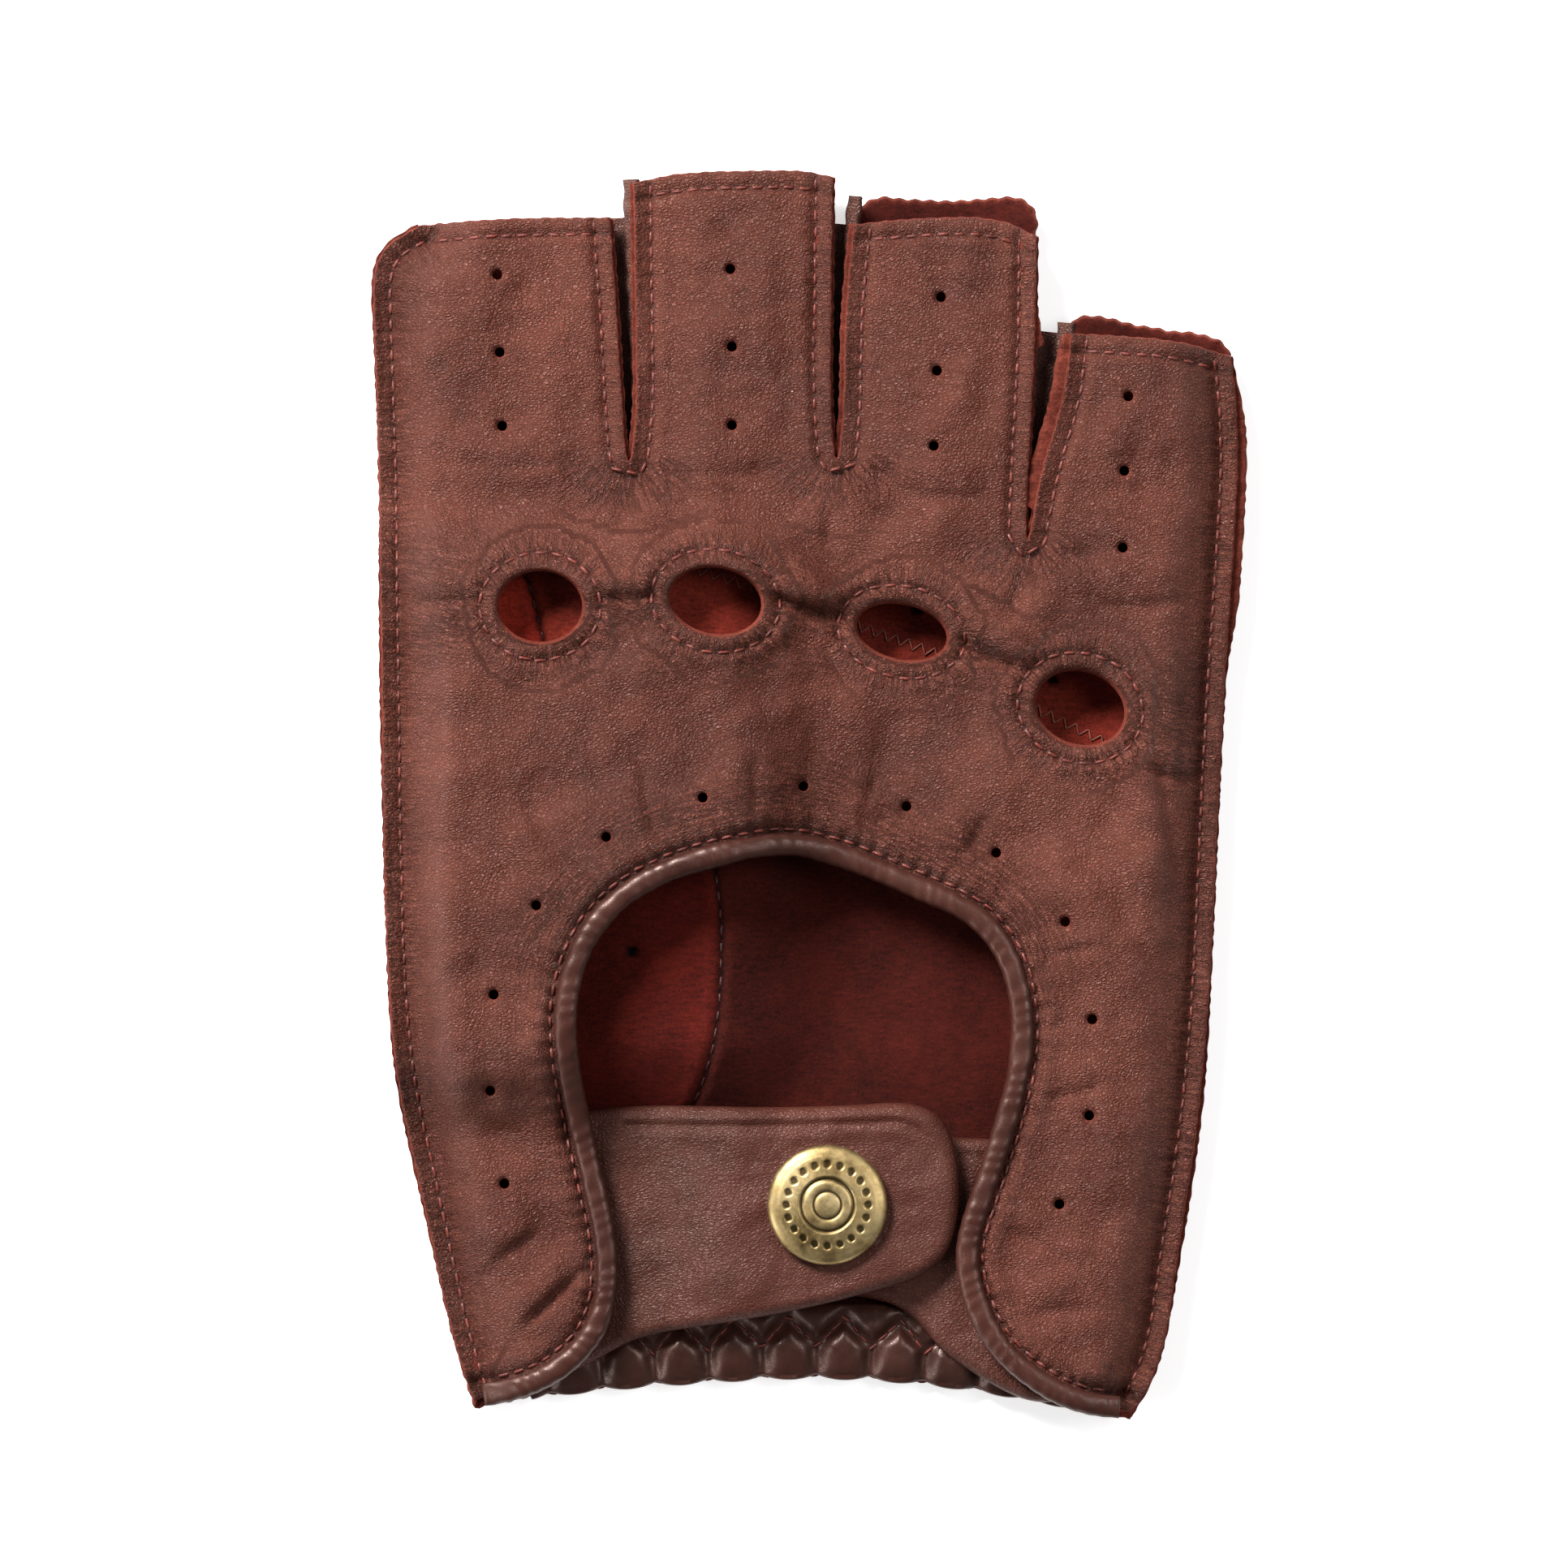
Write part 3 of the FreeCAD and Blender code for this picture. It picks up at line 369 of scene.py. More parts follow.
def ring_shape(p):
    """Rims of the knuckle openings: pinched at the stitches and padded on both sides of them."""
    z = np.zeros(len(p))
    for x, y, a, b, tilt in HOLES.values():
        edge = oval(x, y, a, b, tilt)
        near = np.where(radius_from(p, (x, y)) < 13)[0]
        d, s = nearest(p[near], closed(edge))
        beat = stitch_beat(s)
        z[near] += 0.12 * bell(d, 1.0, 0.6) - 0.18 * step01(1 - d / 0.5)
        z[near] += (0.22 + 0.10 * beat) * bell(d, 3.3, 0.8)
        z[near] -= (0.32 - 0.10 * beat) * bell(d, STITCH_INSET, 0.38)
    return z


def back_top(p):
    low, room, d, s, _ = base_heights(p)
    c, cs = nearest(p, cut_line)
    z = low + PALM + SHEET_GAP + room + BACK
    calm = step01((d - 3) / 6)
    z += calm * (0.34 * waves(p, 19, 1) + 0.13 * waves(p, 7.0, 2)) + 0.03 * waves(p, 2.4, 5)
    z += pucker(d, s) + folds(p) * step01((d - 2.2) / 2.0) + ring_shape(p)
    beat = stitch_beat(cs)
    z += -(0.45 - 0.18 * beat) * bell(c, 3.3, 0.5) + (0.42 + 0.15 * beat) * bell(c, 4.9, 1.1)
    for line in tip_lines:
        t, ts = nearest(p, line)
        z += -(0.30 - 0.10 * stitch_beat(ts)) * bell(t, STITCH_INSET, 0.38) + 0.14 * bell(t, 3.4, 0.8)
        z += 0.14 * bell(t, 0.9, 0.6)
    for x, y in VENTS:
        r = radius_from(p, (x, y))
        z -= 0.22 * step01(1 - (r - 0.6) / 0.55)
    return z


# ---------------------------------------------------------------- meshes

def new_object(name, verts, faces, materials, face_material=None, smooth=True):
    mesh = bpy.data.meshes.new(name)
    mesh.from_pydata((np.asarray(verts) * MM).tolist(), [], [list(map(int, f)) for f in faces])
    for material in materials:
        mesh.materials.append(material)
    if face_material is not None:
        mesh.polygons.foreach_set("material_index", np.asarray(face_material, np.int32))
    mesh.polygons.foreach_set("use_smooth", np.full(len(mesh.polygons), smooth))
    mesh.update()
    obj = bpy.data.objects.new(name, mesh)
    bpy.context.scene.collection.objects.link(obj)
    return obj


def plan_points(obj):
    """Plan place, in millimetres, of every point of a piece."""
    co = np.zeros(len(obj.data.vertices) * 3)
    obj.data.vertices.foreach_get("co", co)
    return co.reshape(-1, 3)[:, :2] / MM


def set_point_value(obj, name, values):
    layer = obj.data.attributes.new(name, "FLOAT", "POINT")
    layer.data.foreach_set("value", np.asarray(values, np.float32))


def hex_grid(lo, hi, step):
    rows = int((hi[1] - lo[1]) / (step * 0.866)) + 1
    cols = int((hi[0] - lo[0]) / step) + 1
    y = lo[1] + np.arange(rows) * step * 0.866
    x = lo[0] + np.arange(cols) * step
    gx, gy = np.meshgrid(x, y)
    gx = gx + (np.arange(rows) % 2)[:, None] * step / 2
    return np.stack([gx.ravel(), gy.ravel()], 1)


def plan_mesh(outer, holes, coarse, fine, reach, lines=()):
    """Triangles over a plan outline with holes, finer within reach of the edges and of some lines."""
    loops = [outer] + holes
    lo, hi = outer.min(0), outer.max(0)
    edges_line = [closed(loop) for loop in loops]

    def band(points, shrink):
        d = np.min([nearest(points, line)[0] for line in edges_line], 0)
        near = d < reach - shrink
        for line, span in lines:
            near |= nearest(points, line)[0] < span - shrink
        return d, near

    def within(points):
        ok = inside(points, outer)
        for hole in holes:
            box = (points > hole.min(0)).all(1) & (points < hole.max(0)).all(1)
            k = np.where(box & ok)[0]
            if len(k):
                ok[k] = ~inside(points[k], hole)
        return points[ok]

    a = within(hex_grid(lo, hi, coarse))
    a = a[~band(a, 0.0)[1]]
    b = within(hex_grid(lo, hi, fine))
    d, near = band(b, 0.4 * fine)
    b = b[near & (d > fine * 0.55)]
    points, links = [], []
    for loop in loops:
        start = len(points)
        points += loop.tolist()
        links += [(start + i, start + (i + 1) % len(loop)) for i in range(len(loop))]
    rim = len(points)
    points += a.tolist() + b.tolist()
    out, _, tris, origin, _, _ = delaunay_2d_cdt([Vector(q) for q in points], links, [], 0, 1e-5)
    out = np.array([list(v) for v in out])
    tris = np.array(tris)
    first = np.array([min(o) if o else rim + 1 for o in origin])
    corner = (first < rim)[tris].all(1)
    centre = out[tris].mean(1)
    keep = np.ones(len(tris), bool)
    k = np.where(corner)[0]
    ok = inside(centre[k], outer)
    for hole in holes:
        box = (centre[k] > hole.min(0)).all(1) & (centre[k] < hole.max(0)).all(1)
        j = np.where(box)[0]
        if len(j):
            ok[j] &= ~inside(centre[k][j], hole)
    keep[k] = ok
    return out, tris[keep]


def sheet(name, plan, top, thick, materials, swell=0.0, bevel=None):
    """Closed sheet between top(p) and thick below it. Materials: upper face, lower face, cut edge."""
    p, tris = plan
    z = top(p)
    n = len(p)
    count = {}
    for a, b, c in tris:
        for e in ((a, b), (b, c), (c, a)):
            key = (min(e), max(e))
            count[key] = None if key in count else e
    rim = [e for e in count.values() if e is not None]
    upper = np.column_stack([p, z])
    lower = np.column_stack([p, z - thick])
    one, two = p[tris[:, 1]] - p[tris[:, 0]], p[tris[:, 2]] - p[tris[:, 0]]
    flip = one[:, 0] * two[:, 1] - one[:, 1] * two[:, 0] < 0
    tris = tris.copy()
    tris[flip] = tris[flip][:, ::-1]
    rim_ids = sorted({v for e in rim for v in e})
    slot = {v: i for i, v in enumerate(rim_ids)}
    mid = np.column_stack([p[rim_ids], z[rim_ids] - thick / 2])
    out = np.zeros((len(rim_ids), 2))
    owner = set(map(tuple, np.vstack([tris[:, [0, 1]], tris[:, [1, 2]], tris[:, [2, 0]]]).tolist()))
    faces = tris.tolist() + (tris[:, ::-1] + n).tolist()
    kinds = [0] * len(tris) + [1] * len(tris)
    for a, b in rim:
        if (a, b) not in owner:
            a, b = b, a
        d = p[b] - p[a]
        side = np.array([d[1], -d[0]]) / (np.linalg.norm(d) + 1e-9)
        for v in (a, b):
            out[slot[v]] += side
        ma, mb = 2 * n + slot[a], 2 * n + slot[b]
        faces += [[b, a, ma, mb], [mb, ma, a + n, b + n]]
        kinds += [2, 2]
    out /= np.linalg.norm(out, axis=1)[:, None] + 1e-9
    mid[:, :2] += out * swell
    if bevel is not None:
        upper[rim_ids, :2] -= out * bevel(p[rim_ids])[:, None]
    return new_object(name, np.vstack([upper, lower, mid]), faces, materials, kinds)


def loft_faces(rows, count):
    """Faces of a closed section of rows, each row with count points along the piece, capped at both ends."""
    faces = []
    for j in range(rows):
        k = (j + 1) % rows
        for i in range(count - 1):
            faces.append([j * count + i, j * count + i + 1, k * count + i + 1, k * count + i])
    return faces + [[j * count for j in range(rows)], [j * count + count - 1 for j in range(rows)][::-1]]


def tube_faces(rings, sides):
    """Quads between rings of points that follow each other, and a cap at each end."""
    faces = []
    for i in range(rings - 1):
        for k in range(sides):
            m = (k + 1) % sides
            faces.append([i * sides + k, i * sides + m, (i + 1) * sides + m, (i + 1) * sides + k])
    return faces + [list(range(sides))[::-1], [(rings - 1) * sides + k for k in range(sides)]]


def tube(path, radius, sides=6):
    """Tube along 3-D points, with a radius for each point."""
    path = np.asarray(path, float)
    n = len(path)
    t = np.gradient(path, axis=0)
    t /= np.linalg.norm(t, axis=1)[:, None] + 1e-12
    across = np.stack([-t[:, 1], t[:, 0], np.zeros(n)], 1)
    across /= np.linalg.norm(across, axis=1)[:, None] + 1e-12
    up = np.cross(t, across)
    radius = np.broadcast_to(np.asarray(radius, float), (n,))
    u = np.linspace(0, 2 * math.pi, sides, endpoint=False)
    ring = across[:, None] * np.cos(u)[None, :, None] + up[:, None] * np.sin(u)[None, :, None]
    verts = (path[:, None] + ring * radius[:, None, None]).reshape(-1, 3)
    return verts, tube_faces(n, sides)


def join_parts(name, parts, material):
    verts, faces, base = [], [], 0
    for v, f in parts:
        verts.append(v)
        faces += [[i + base for i in face] for face in f]
        base += len(v)
    return new_object(name, np.vstack(verts), faces, [material])


def stitches(name, line, top, material, pitch=PITCH, length=1.5, width=0.21, raise_by=0.10, seed=1):
    """Separate stitches along a plan line, each a short arched thread that dives at both ends."""
    r = np.random.default_rng(seed)
    total = arc(line)[-1]
    count = int(total / pitch)
    gap = total / count
    parts = []
    u = np.linspace(-1, 1, 7)
    rows = []
    for i in range(count):
        centre = (i + 0.5) * gap + r.uniform(-0.06, 0.06)
        a, b = resample(line, at=np.array([max(centre - 0.3, 0), min(centre + 0.3, total)]))
        t = (b - a) / (np.linalg.norm(b - a) + 1e-9)
        turn = r.uniform(-0.07, 0.07)
        c, s = math.cos(turn), math.sin(turn)
        t = np.array([t[0] * c - t[1] * s, t[0] * s + t[1] * c])
        half = 0.5 * length * r.uniform(0.93, 1.07)
        mid = (a + b) / 2 + r.uniform(-0.05, 0.05, 2)
        rows.append(mid + u[:, None] * half * t)
    flat = np.vstack(rows)
    z = top(flat).reshape(count, 7)
    for i in range(count):
        level = np.linspace(z[i, 0], z[i, -1], 7) * 0.5 + z[i] * 0.5
        arch = raise_by * (1 - u ** 4) - 0.32 * np.abs(u) ** 5
        path = np.column_stack([rows[i], level + arch])
        radius = width * (1 - 0.35 * np.abs(u) ** 4) * r.uniform(0.92, 1.08)
        parts.append(tube(path, radius))
    return join_parts(name, parts, material)


# ---------------------------------------------------------------- materials


class Nodes:
    def __init__(self, name):
        self.material = bpy.data.materials.new(name)
        self.material.use_nodes = True
        self.tree = self.material.node_tree
        self.bsdf = self.tree.nodes["Principled BSDF"]
        coords = self.tree.nodes.new("ShaderNodeTexCoord")
        self.place = coords.outputs["Object"]

    def add(self, kind, **inputs):
        node = self.tree.nodes.new("ShaderNode" + kind)
        for key, value in inputs.items():
            if key[0].islower():
                setattr(node, key, value)
            else:
                self.put(node.inputs[key.replace("_", " ")], value)
        return node

    def put(self, socket, value):
        if isinstance(value, bpy.types.NodeSocket):
            self.tree.links.new(value, socket)
        else:
            socket.default_value = value

    def noise(self, scale, detail=3.0, rough=0.5, where=None):
        where = where or self.place
        return self.add("TexNoise", Vector=where, Scale=scale, Detail=detail, Roughness=rough).outputs["Fac"]

    def cells(self, scale, feature, where):
        return self.add("TexVoronoi", feature=feature, Vector=where, Scale=scale).outputs["Distance"]

    def attribute(self, name):
        return self.add("Attribute", attribute_name=name).outputs["Fac"]

    def ramp(self, fac, stops):
        node = self.add("ValToRGB", Fac=fac)
        ramp = node.color_ramp
        while len(ramp.elements) < len(stops):
            ramp.elements.new(0.5)
        for element, (at, colour) in zip(ramp.elements, stops):
            element.position = at
            element.color = (*colour, 1) if len(colour) == 3 else colour
        return node.outputs["Color"]

    def mix(self, fac, a, b, mode="MIX"):
        node = self.add("Mix", data_type="RGBA", blend_type=mode)
        self.put(node.inputs[0], fac)
        self.put(node.inputs[6], a)
        self.put(node.inputs[7], b)
        return node.outputs[2]

    def math(self, op, a, b=0.0):
        node = self.add("Math", operation=op)
        self.put(node.inputs[0], a)
        self.put(node.inputs[1], b)
        return node.outputs[0]

    def map(self, value, a, b, c, d):
        node = self.add("MapRange", Value=value)
        for key, v in zip(("From Min", "From Max", "To Min", "To Max"), (a, b, c, d)):
            node.inputs[key].default_value = v
        return node.outputs["Result"]

    def bump(self, height, strength, distance, normal=None):
        node = self.add("Bump", Height=height, Strength=strength, Distance=distance)
        if normal is not None:
            self.put(node.inputs["Normal"], normal)
        return node.outputs["Normal"]

    def finish(self, **inputs):
        for key, value in inputs.items():
            self.put(self.bsdf.inputs[key.replace("_", " ")], value)
        return self.material


def srgb(r, g, b):
    def lin(v):
        v /= 255
        return v / 12.92 if v <= 0.04045 else ((v + 0.055) / 1.055) ** 2.4
    return (lin(r), lin(g), lin(b))


def with_alpha(c):
    return (*c, 1.0)


def shade(colour, share):
    return (*(share * v for v in colour), 1.0)


def leather(name, dark, main, light, rough=0.40, grain=1.0, creases=True):
    """Pebbled grain leather: rounded cells about half a millimetre across, with creases at the seams. Its
    colour carries painted shade in the cracks, stitch grooves and creases, and painted glints on the pebble
    crowns.
    """
    m = Nodes(name)
    warp = m.add("TexNoise", Vector=m.place, Scale=700.0, Detail=2.0)
    bent = m.add("VectorMath", operation="SCALE")
    m.put(bent.inputs[0], warp.outputs["Color"])
    bent.inputs["Scale"].default_value = 0.0009
    place = m.add("VectorMath", operation="ADD")
    m.put(place.inputs[0], m.place)
    m.put(place.inputs[1], bent.outputs[0])
    squeeze = m.add("Mapping", Vector=place.outputs[0], Scale=(0.8, 1.25, 1.0))
    where = squeeze.outputs[0]
    cracks = m.cells(2250.0, "DISTANCE_TO_EDGE", where)
    small = m.cells(4300.0, "DISTANCE_TO_EDGE", where)
    pebbles = m.cells(2250.0, "F1", where)
    patches = m.noise(42.0, 4.0, 0.55)
    mottle = m.noise(260.0, 3.0, 0.6)
    fine = m.noise(4200.0, 2.0, 0.6)
    tone = m.ramp(patches, [(0.32, dark), (0.50, main), (0.70, light)])
    tone = m.mix(m.map(mottle, 0.42, 0.70, 0.0, 0.35), tone, with_alpha(light))
    # painted shade: the colour is darkened in the cracks between the pebbles
    crevice = m.map(cracks, 0.0, 0.14, 1.0, 0.0)
    tone = m.mix(m.math("MULTIPLY", crevice, 0.30 + 0.25 * grain), tone, shade(dark, 0.35))
    # painted highlight: a light glint colour on the pebble crowns, in scattered patches
    crown = m.map(pebbles, 0.05, 0.30, 1.0, 0.0)
    glint_patches = m.map(m.noise(1500.0, 2.0), 0.46, 0.60, 0.0, 1.0)
    glint = m.math("MULTIPLY", m.math("MULTIPLY", crown, glint_patches), m.map(fine, 0.35, 0.6, 0.1, 0.5))
    glint_colour = with_alpha(tuple(min(1, 2.2 * v + 0.02) for v in light))
    tone = m.mix(m.math("MULTIPLY", glint, grain), tone, glint_colour)
    small = m.math("MULTIPLY", m.map(small, 0.0, 0.3, 0.0, 1.0), 0.35)
    height = m.math("ADD", m.map(cracks, 0.0, 0.30, 0.0, 1.0), small)
    height = m.math("ADD", height, m.math("MULTIPLY", fine, 0.35))
    normal = m.bump(height, 0.75 * grain, 0.00015)
    if creases:
        # painted shade: darker colour in the stitch grooves beside the seams, the cut-out and the knuckle
        # openings
        groove = m.attribute("groove")
        tone = m.mix(groove, tone, shade(dark, 0.35))
        for flow, strength in (("flow_seam", 0.8), ("flow_fold", 0.9)):
            at = m.add("Attribute", attribute_name=flow)
            split = m.add("SeparateXYZ")
            m.put(split.inputs[0], at.outputs["Vector"])
            join = m.add("CombineXYZ")
            m.put(join.inputs[0], m.math("MULTIPLY", split.outputs[0], 0.30))
            m.put(join.inputs[1], m.math("MULTIPLY", split.outputs[1], 1.15))
            ridged = m.noise(1.0, 4.0, 0.6, join.outputs[0])
            line = m.map(m.math("ABSOLUTE", m.math("SUBTRACT", ridged, 0.5)), 0.0, 0.055, 1.0, 0.0)
            line = m.math("MULTIPLY", line, split.outputs[2])
            # painted shade: the crease lines are darkened in colour as well as bumped
            tone = m.mix(m.math("MULTIPLY", line, 0.42), tone, shade(dark, 0.28))
            normal = m.bump(m.math("SUBTRACT", 1.0, line), strength, 0.00035, normal)
    normal = m.bump(mottle, 0.45 * grain, 0.0007, normal)
    if creases:
        normal = m.bump(m.noise(70.0, 2.0, 0.5), 0.9, 0.0012 + 0.0019 * grain, normal)
    shine = m.map(mottle, 0.3, 0.7, rough - 0.06, rough + 0.10)
    shine = m.math("ADD", shine, m.math("MULTIPLY", crevice, 0.2))
    return m, tone, normal, shine


def grain_material(name, dark, main, light, rough=0.40, grain=1.0, creases=True):
    m, tone, normal, shine = leather(name, dark, main, light, rough, grain, creases)
    return m.finish(Base_Color=tone, Roughness=shine, Normal=normal,
                    Specular_IOR_Level=0.32 if creases else 0.45, Specular_Tint=(1.0, 0.74, 0.66, 1.0))


def suede_material(name, dark, light, nap=1.0, inset=False):
    """Napped flesh side. With inset, the attribute "inset" turns it redder, "seam" darkens it with painted
    shade along the gusset seam and in the palm vents, and near the knuckle openings it is brightened with
    painted light.
    """
    m = Nodes(name)
    fibre = m.noise(2600.0, 4.0, 0.8)
    speck = m.noise(6400.0, 2.0, 0.7)
    stretch = m.add("Mapping", Vector=m.place, Scale=(700.0, 2600.0, 900.0), Rotation=(0, 0, 0.6))
    brushed = m.noise(1.0, 3.0, 0.6, stretch.outputs[0])
    patch = m.noise(85.0, 4.0, 0.6)
    blend = m.math("ADD", m.math("MULTIPLY", fibre, 0.42), m.math("MULTIPLY", patch, 0.30))
    blend = m.math("ADD", blend, m.math("MULTIPLY", brushed, 0.28))
    tone = m.ramp(blend, [(0.38, dark), (0.64, light)])
    tone = m.mix(m.map(speck, 0.60, 0.72, 0.0, 0.5), tone, shade(light, 1.9))
    if inset:
        red = m.attribute("inset")
        tone = m.mix(red, tone, m.mix(1.0, tone, (1.60, 1.15, 1.10, 1), "MULTIPLY"))
        # painted shade: dark colour in the gusset seam groove, and dark spots painted where the palm vents
        # would show shadow
        seam = m.attribute("seam")
        tone = m.mix(seam, tone, shade(dark, 0.12))
        raw = m.attribute("raw")
        pink = m.ramp(fibre, [(0.35, srgb(46, 14, 10)), (0.65, srgb(92, 38, 29))])
        # painted light: the suede seen through the knuckle openings is brightened several times
        painted_hole_light = m.attribute("painted_hole_light")
        tone = m.mix(painted_hole_light, tone, m.mix(1.0, tone, (4.8, 4.5, 4.4, 1), "MULTIPLY"))
        tone = m.mix(raw, tone, pink)
    normal = m.bump(fibre, 0.7 * nap, 0.00025)
    normal = m.bump(patch, 0.3, 0.0008, normal)
    return m.finish(Base_Color=tone, Roughness=0.95, Normal=normal, Specular_IOR_Level=0.1,
                    Sheen_Weight=0.15, Sheen_Roughness=0.5, Sheen_Tint=with_alpha(light))


def thread_material(name, colour):
    m = Nodes(name)
    twist = m.add("TexWave", wave_type="BANDS", bands_direction="DIAGONAL", Vector=m.place, Scale=1500.0,
                  Distortion=1.2, Detail=1.0).outputs["Fac"]
    tint = m.noise(420.0, 2.0)
    tone = m.ramp(tint, [(0.3, shade(colour, 0.6)), (0.7, shade(colour, 1.35))])
    # painted shade: darker colour in the grooves between the twisted plies
    tone = m.mix(m.math("MULTIPLY", m.map(twist, 0, 1, 1, 0), 0.35), tone, shade(colour, 0.35))
    normal = m.bump(twist, 0.5, 0.00006)
    return m.finish(Base_Color=tone, Roughness=0.5, Normal=normal, Specular_IOR_Level=0.4)


def brass_material(name):
    m = Nodes(name)
    wear = m.noise(230.0, 5.0, 0.65)
    stain = m.noise(900.0, 4.0, 0.7)
    tone = m.ramp(wear, [(0.28, srgb(104, 84, 50)), (0.50, srgb(170, 147, 102)), (0.74, srgb(198, 178, 134))])
    tone = m.mix(m.map(stain, 0.60, 0.76, 0.0, 0.45), tone, with_alpha(srgb(104, 82, 46)))
    sunk = m.attribute("sunk")
    tone = m.mix(sunk, tone, with_alpha(srgb(52, 40, 22)))
    rough = m.map(stain, 0.3, 0.7, 0.36, 0.56)
    normal = m.bump(stain, 0.25, 0.00005)
    return m.finish(Base_Color=tone, Metallic=1.0, Roughness=rough, Normal=normal)


def steel_material(name):
    m = Nodes(name)
    streak = m.noise(1600.0, 3.0)
    tone = m.ramp(streak, [(0.3, (0.35, 0.35, 0.36)), (0.7, (0.6, 0.6, 0.61))])
    rough = m.map(streak, 0.3, 0.7, 0.22, 0.36)
    return m.finish(Base_Color=tone, Metallic=1.0, Roughness=rough, Normal=m.bump(streak, 0.2, 0.00003))


def elastic_material(name):
    m = Nodes(name)
    weave = m.add("TexWave", wave_type="BANDS", bands_direction="X", Vector=m.place, Scale=420.0)
    weave = weave.outputs["Fac"]
    tone = m.ramp(weave, [(0.2, srgb(50, 30, 24)), (0.8, srgb(92, 60, 50))])
    return m.finish(Base_Color=tone, Roughness=0.8, Normal=m.bump(weave, 0.5, 0.0002))


DARK, MAIN, LIGHT = srgb(64, 29, 21), srgb(80, 38, 28), srgb(93, 47, 36)
grain = grain_material("grain_leather", DARK, MAIN, LIGHT)
strap_grain = grain_material("strap_leather", srgb(54, 24, 17), srgb(67, 31, 23), srgb(77, 39, 30), 0.40, 0.6)
binding_grain = grain_material("binding_leather", srgb(42, 18, 13), srgb(52, 24, 18), srgb(62, 31, 24),
                               0.33, 0.05, False)
hem_grain = grain_material("hem_leather", srgb(38, 18, 13), srgb(50, 25, 19), srgb(60, 32, 25),
                           0.30, 0.06, False)
wall_grain = grain_material("wall_leather", srgb(48, 26, 21), srgb(66, 37, 30), srgb(84, 50, 42),
                            0.36, 0.9, False)
suede = suede_material("palm_suede", srgb(30, 7, 5), srgb(70, 21, 14), inset=True)
suede_back = suede_material("back_suede", srgb(58, 20, 14), srgb(106, 50, 39))
raw_edge = suede_material("raw_edge", srgb(60, 21, 15), srgb(116, 54, 42), 1.0)
thread = thread_material("seam_thread", srgb(96, 38, 28))
inner_thread = thread_material("inner_thread", srgb(54, 16, 12))
row_thread = thread_material("row_thread", srgb(140, 74, 60))
brass = brass_material("antique_brass")
steel = steel_material("spring_steel")
elastic = elastic_material("wrist_elastic")

# ---------------------------------------------------------------- panels

KNUCKLE = next(j for j in frame["joints"] if j["name"] == "knuckle_flex")
across_knuckles = np.array(KNUCKLE["axis"])
to_tips = np.array([-across_knuckles[1], across_knuckles[0], 0.0])
to_tips *= np.sign(to_tips[1])


def bend(obj):
    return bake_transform(obj)


def raw_loop(runs, sway, phase):
    """Closed outline from runs that meet end to end, with the small sway of a hand-cut edge."""
    loop = np.vstack([r[:-1] for r in runs])
    n = normals(np.vstack([loop[-1:], loop, loop[:1]]))[1:-1]
    s = arc(closed(loop))[:-1]
    return loop + n * (sway * np.sin(2 * math.pi * s / PITCH)
                       + 0.6 * sway * np.sin(s * 0.9 + 2 * np.sin(s * 0.31 + phase)))[:, None]


FANS = [(-22.1, 41.6), (3.9, 42.0), (27.7, 31.9)]


def flows(p):
    """Where fine creases run: (across, along, weight) for those at the seams and for those at folds."""
    d, s, _, which = seam_field(p)
    c, cs = nearest(p, cut_line)
    noise = 0.5 + 0.5 * np.clip(waves(p, 12, 91), -1, 1)
    at_side, at_fork = which < 2, which > 1
    seam_w = bell(d, 1.0, 3.2) * (0.45 + 0.55 * noise) * at_side + bell(d, 0, 2.0) * 0.5 * at_fork
    arch = step01((p[:, 1] + 30) / 18) * bell(c, 6.0, 5.5) * (0.3 + 0.7 * noise)
    arch += 0.35 * bell(c, 4.0, 2.0)
    seam = np.column_stack([d * 0.9, s, seam_w])
    around = np.column_stack([cs, c * 1.2, np.clip(arch, 0, 1)])
    pick = (around[:, 2] > seam[:, 2])[:, None]
    first = np.where(pick, around, seam)
    second = np.column_stack([p[:, 0], p[:, 1] * 1.1 + 0.22 * p[:, 0], np.zeros(len(p))])
    row = np.abs(p[:, 1] - np.interp(p[:, 0], [-54, -33, -11, 12, 34, 54], [24, 24, 24, 20.5, 11, 4]))
    second[:, 2] = bell(row, 0, 6.5) * (0.25 + 0.75 * noise)
    for x, y, a, b, tilt in HOLES.values():
        edge = oval(x, y, a, b, tilt)
        near = np.where(radius_from(p, (x, y)) < 13)[0]
        if not len(near):
            continue
        e, es = nearest(p[near], closed(edge))
        w = 0.85 * bell(e, 2.2, 2.2)
        win = w > second[near, 2] * 0.8
        second[near[win]] = np.column_stack([e * 0.8, es * 1.3, w])[win]
    for x, y in FANS:
        dx, dy = p[:, 0] - x, p[:, 1] - y - 3.0
        r, angle = np.hypot(dx, dy), np.arctan2(dy, dx)
        w = 0.75 * bell(r, 6.0, 4.0) * step01((-dy - 1.0) / 4.0)
        win = w > second[:, 2]
        second[win] = np.column_stack([r * 0.8, angle * 5.5, w])[win]
    return first, second


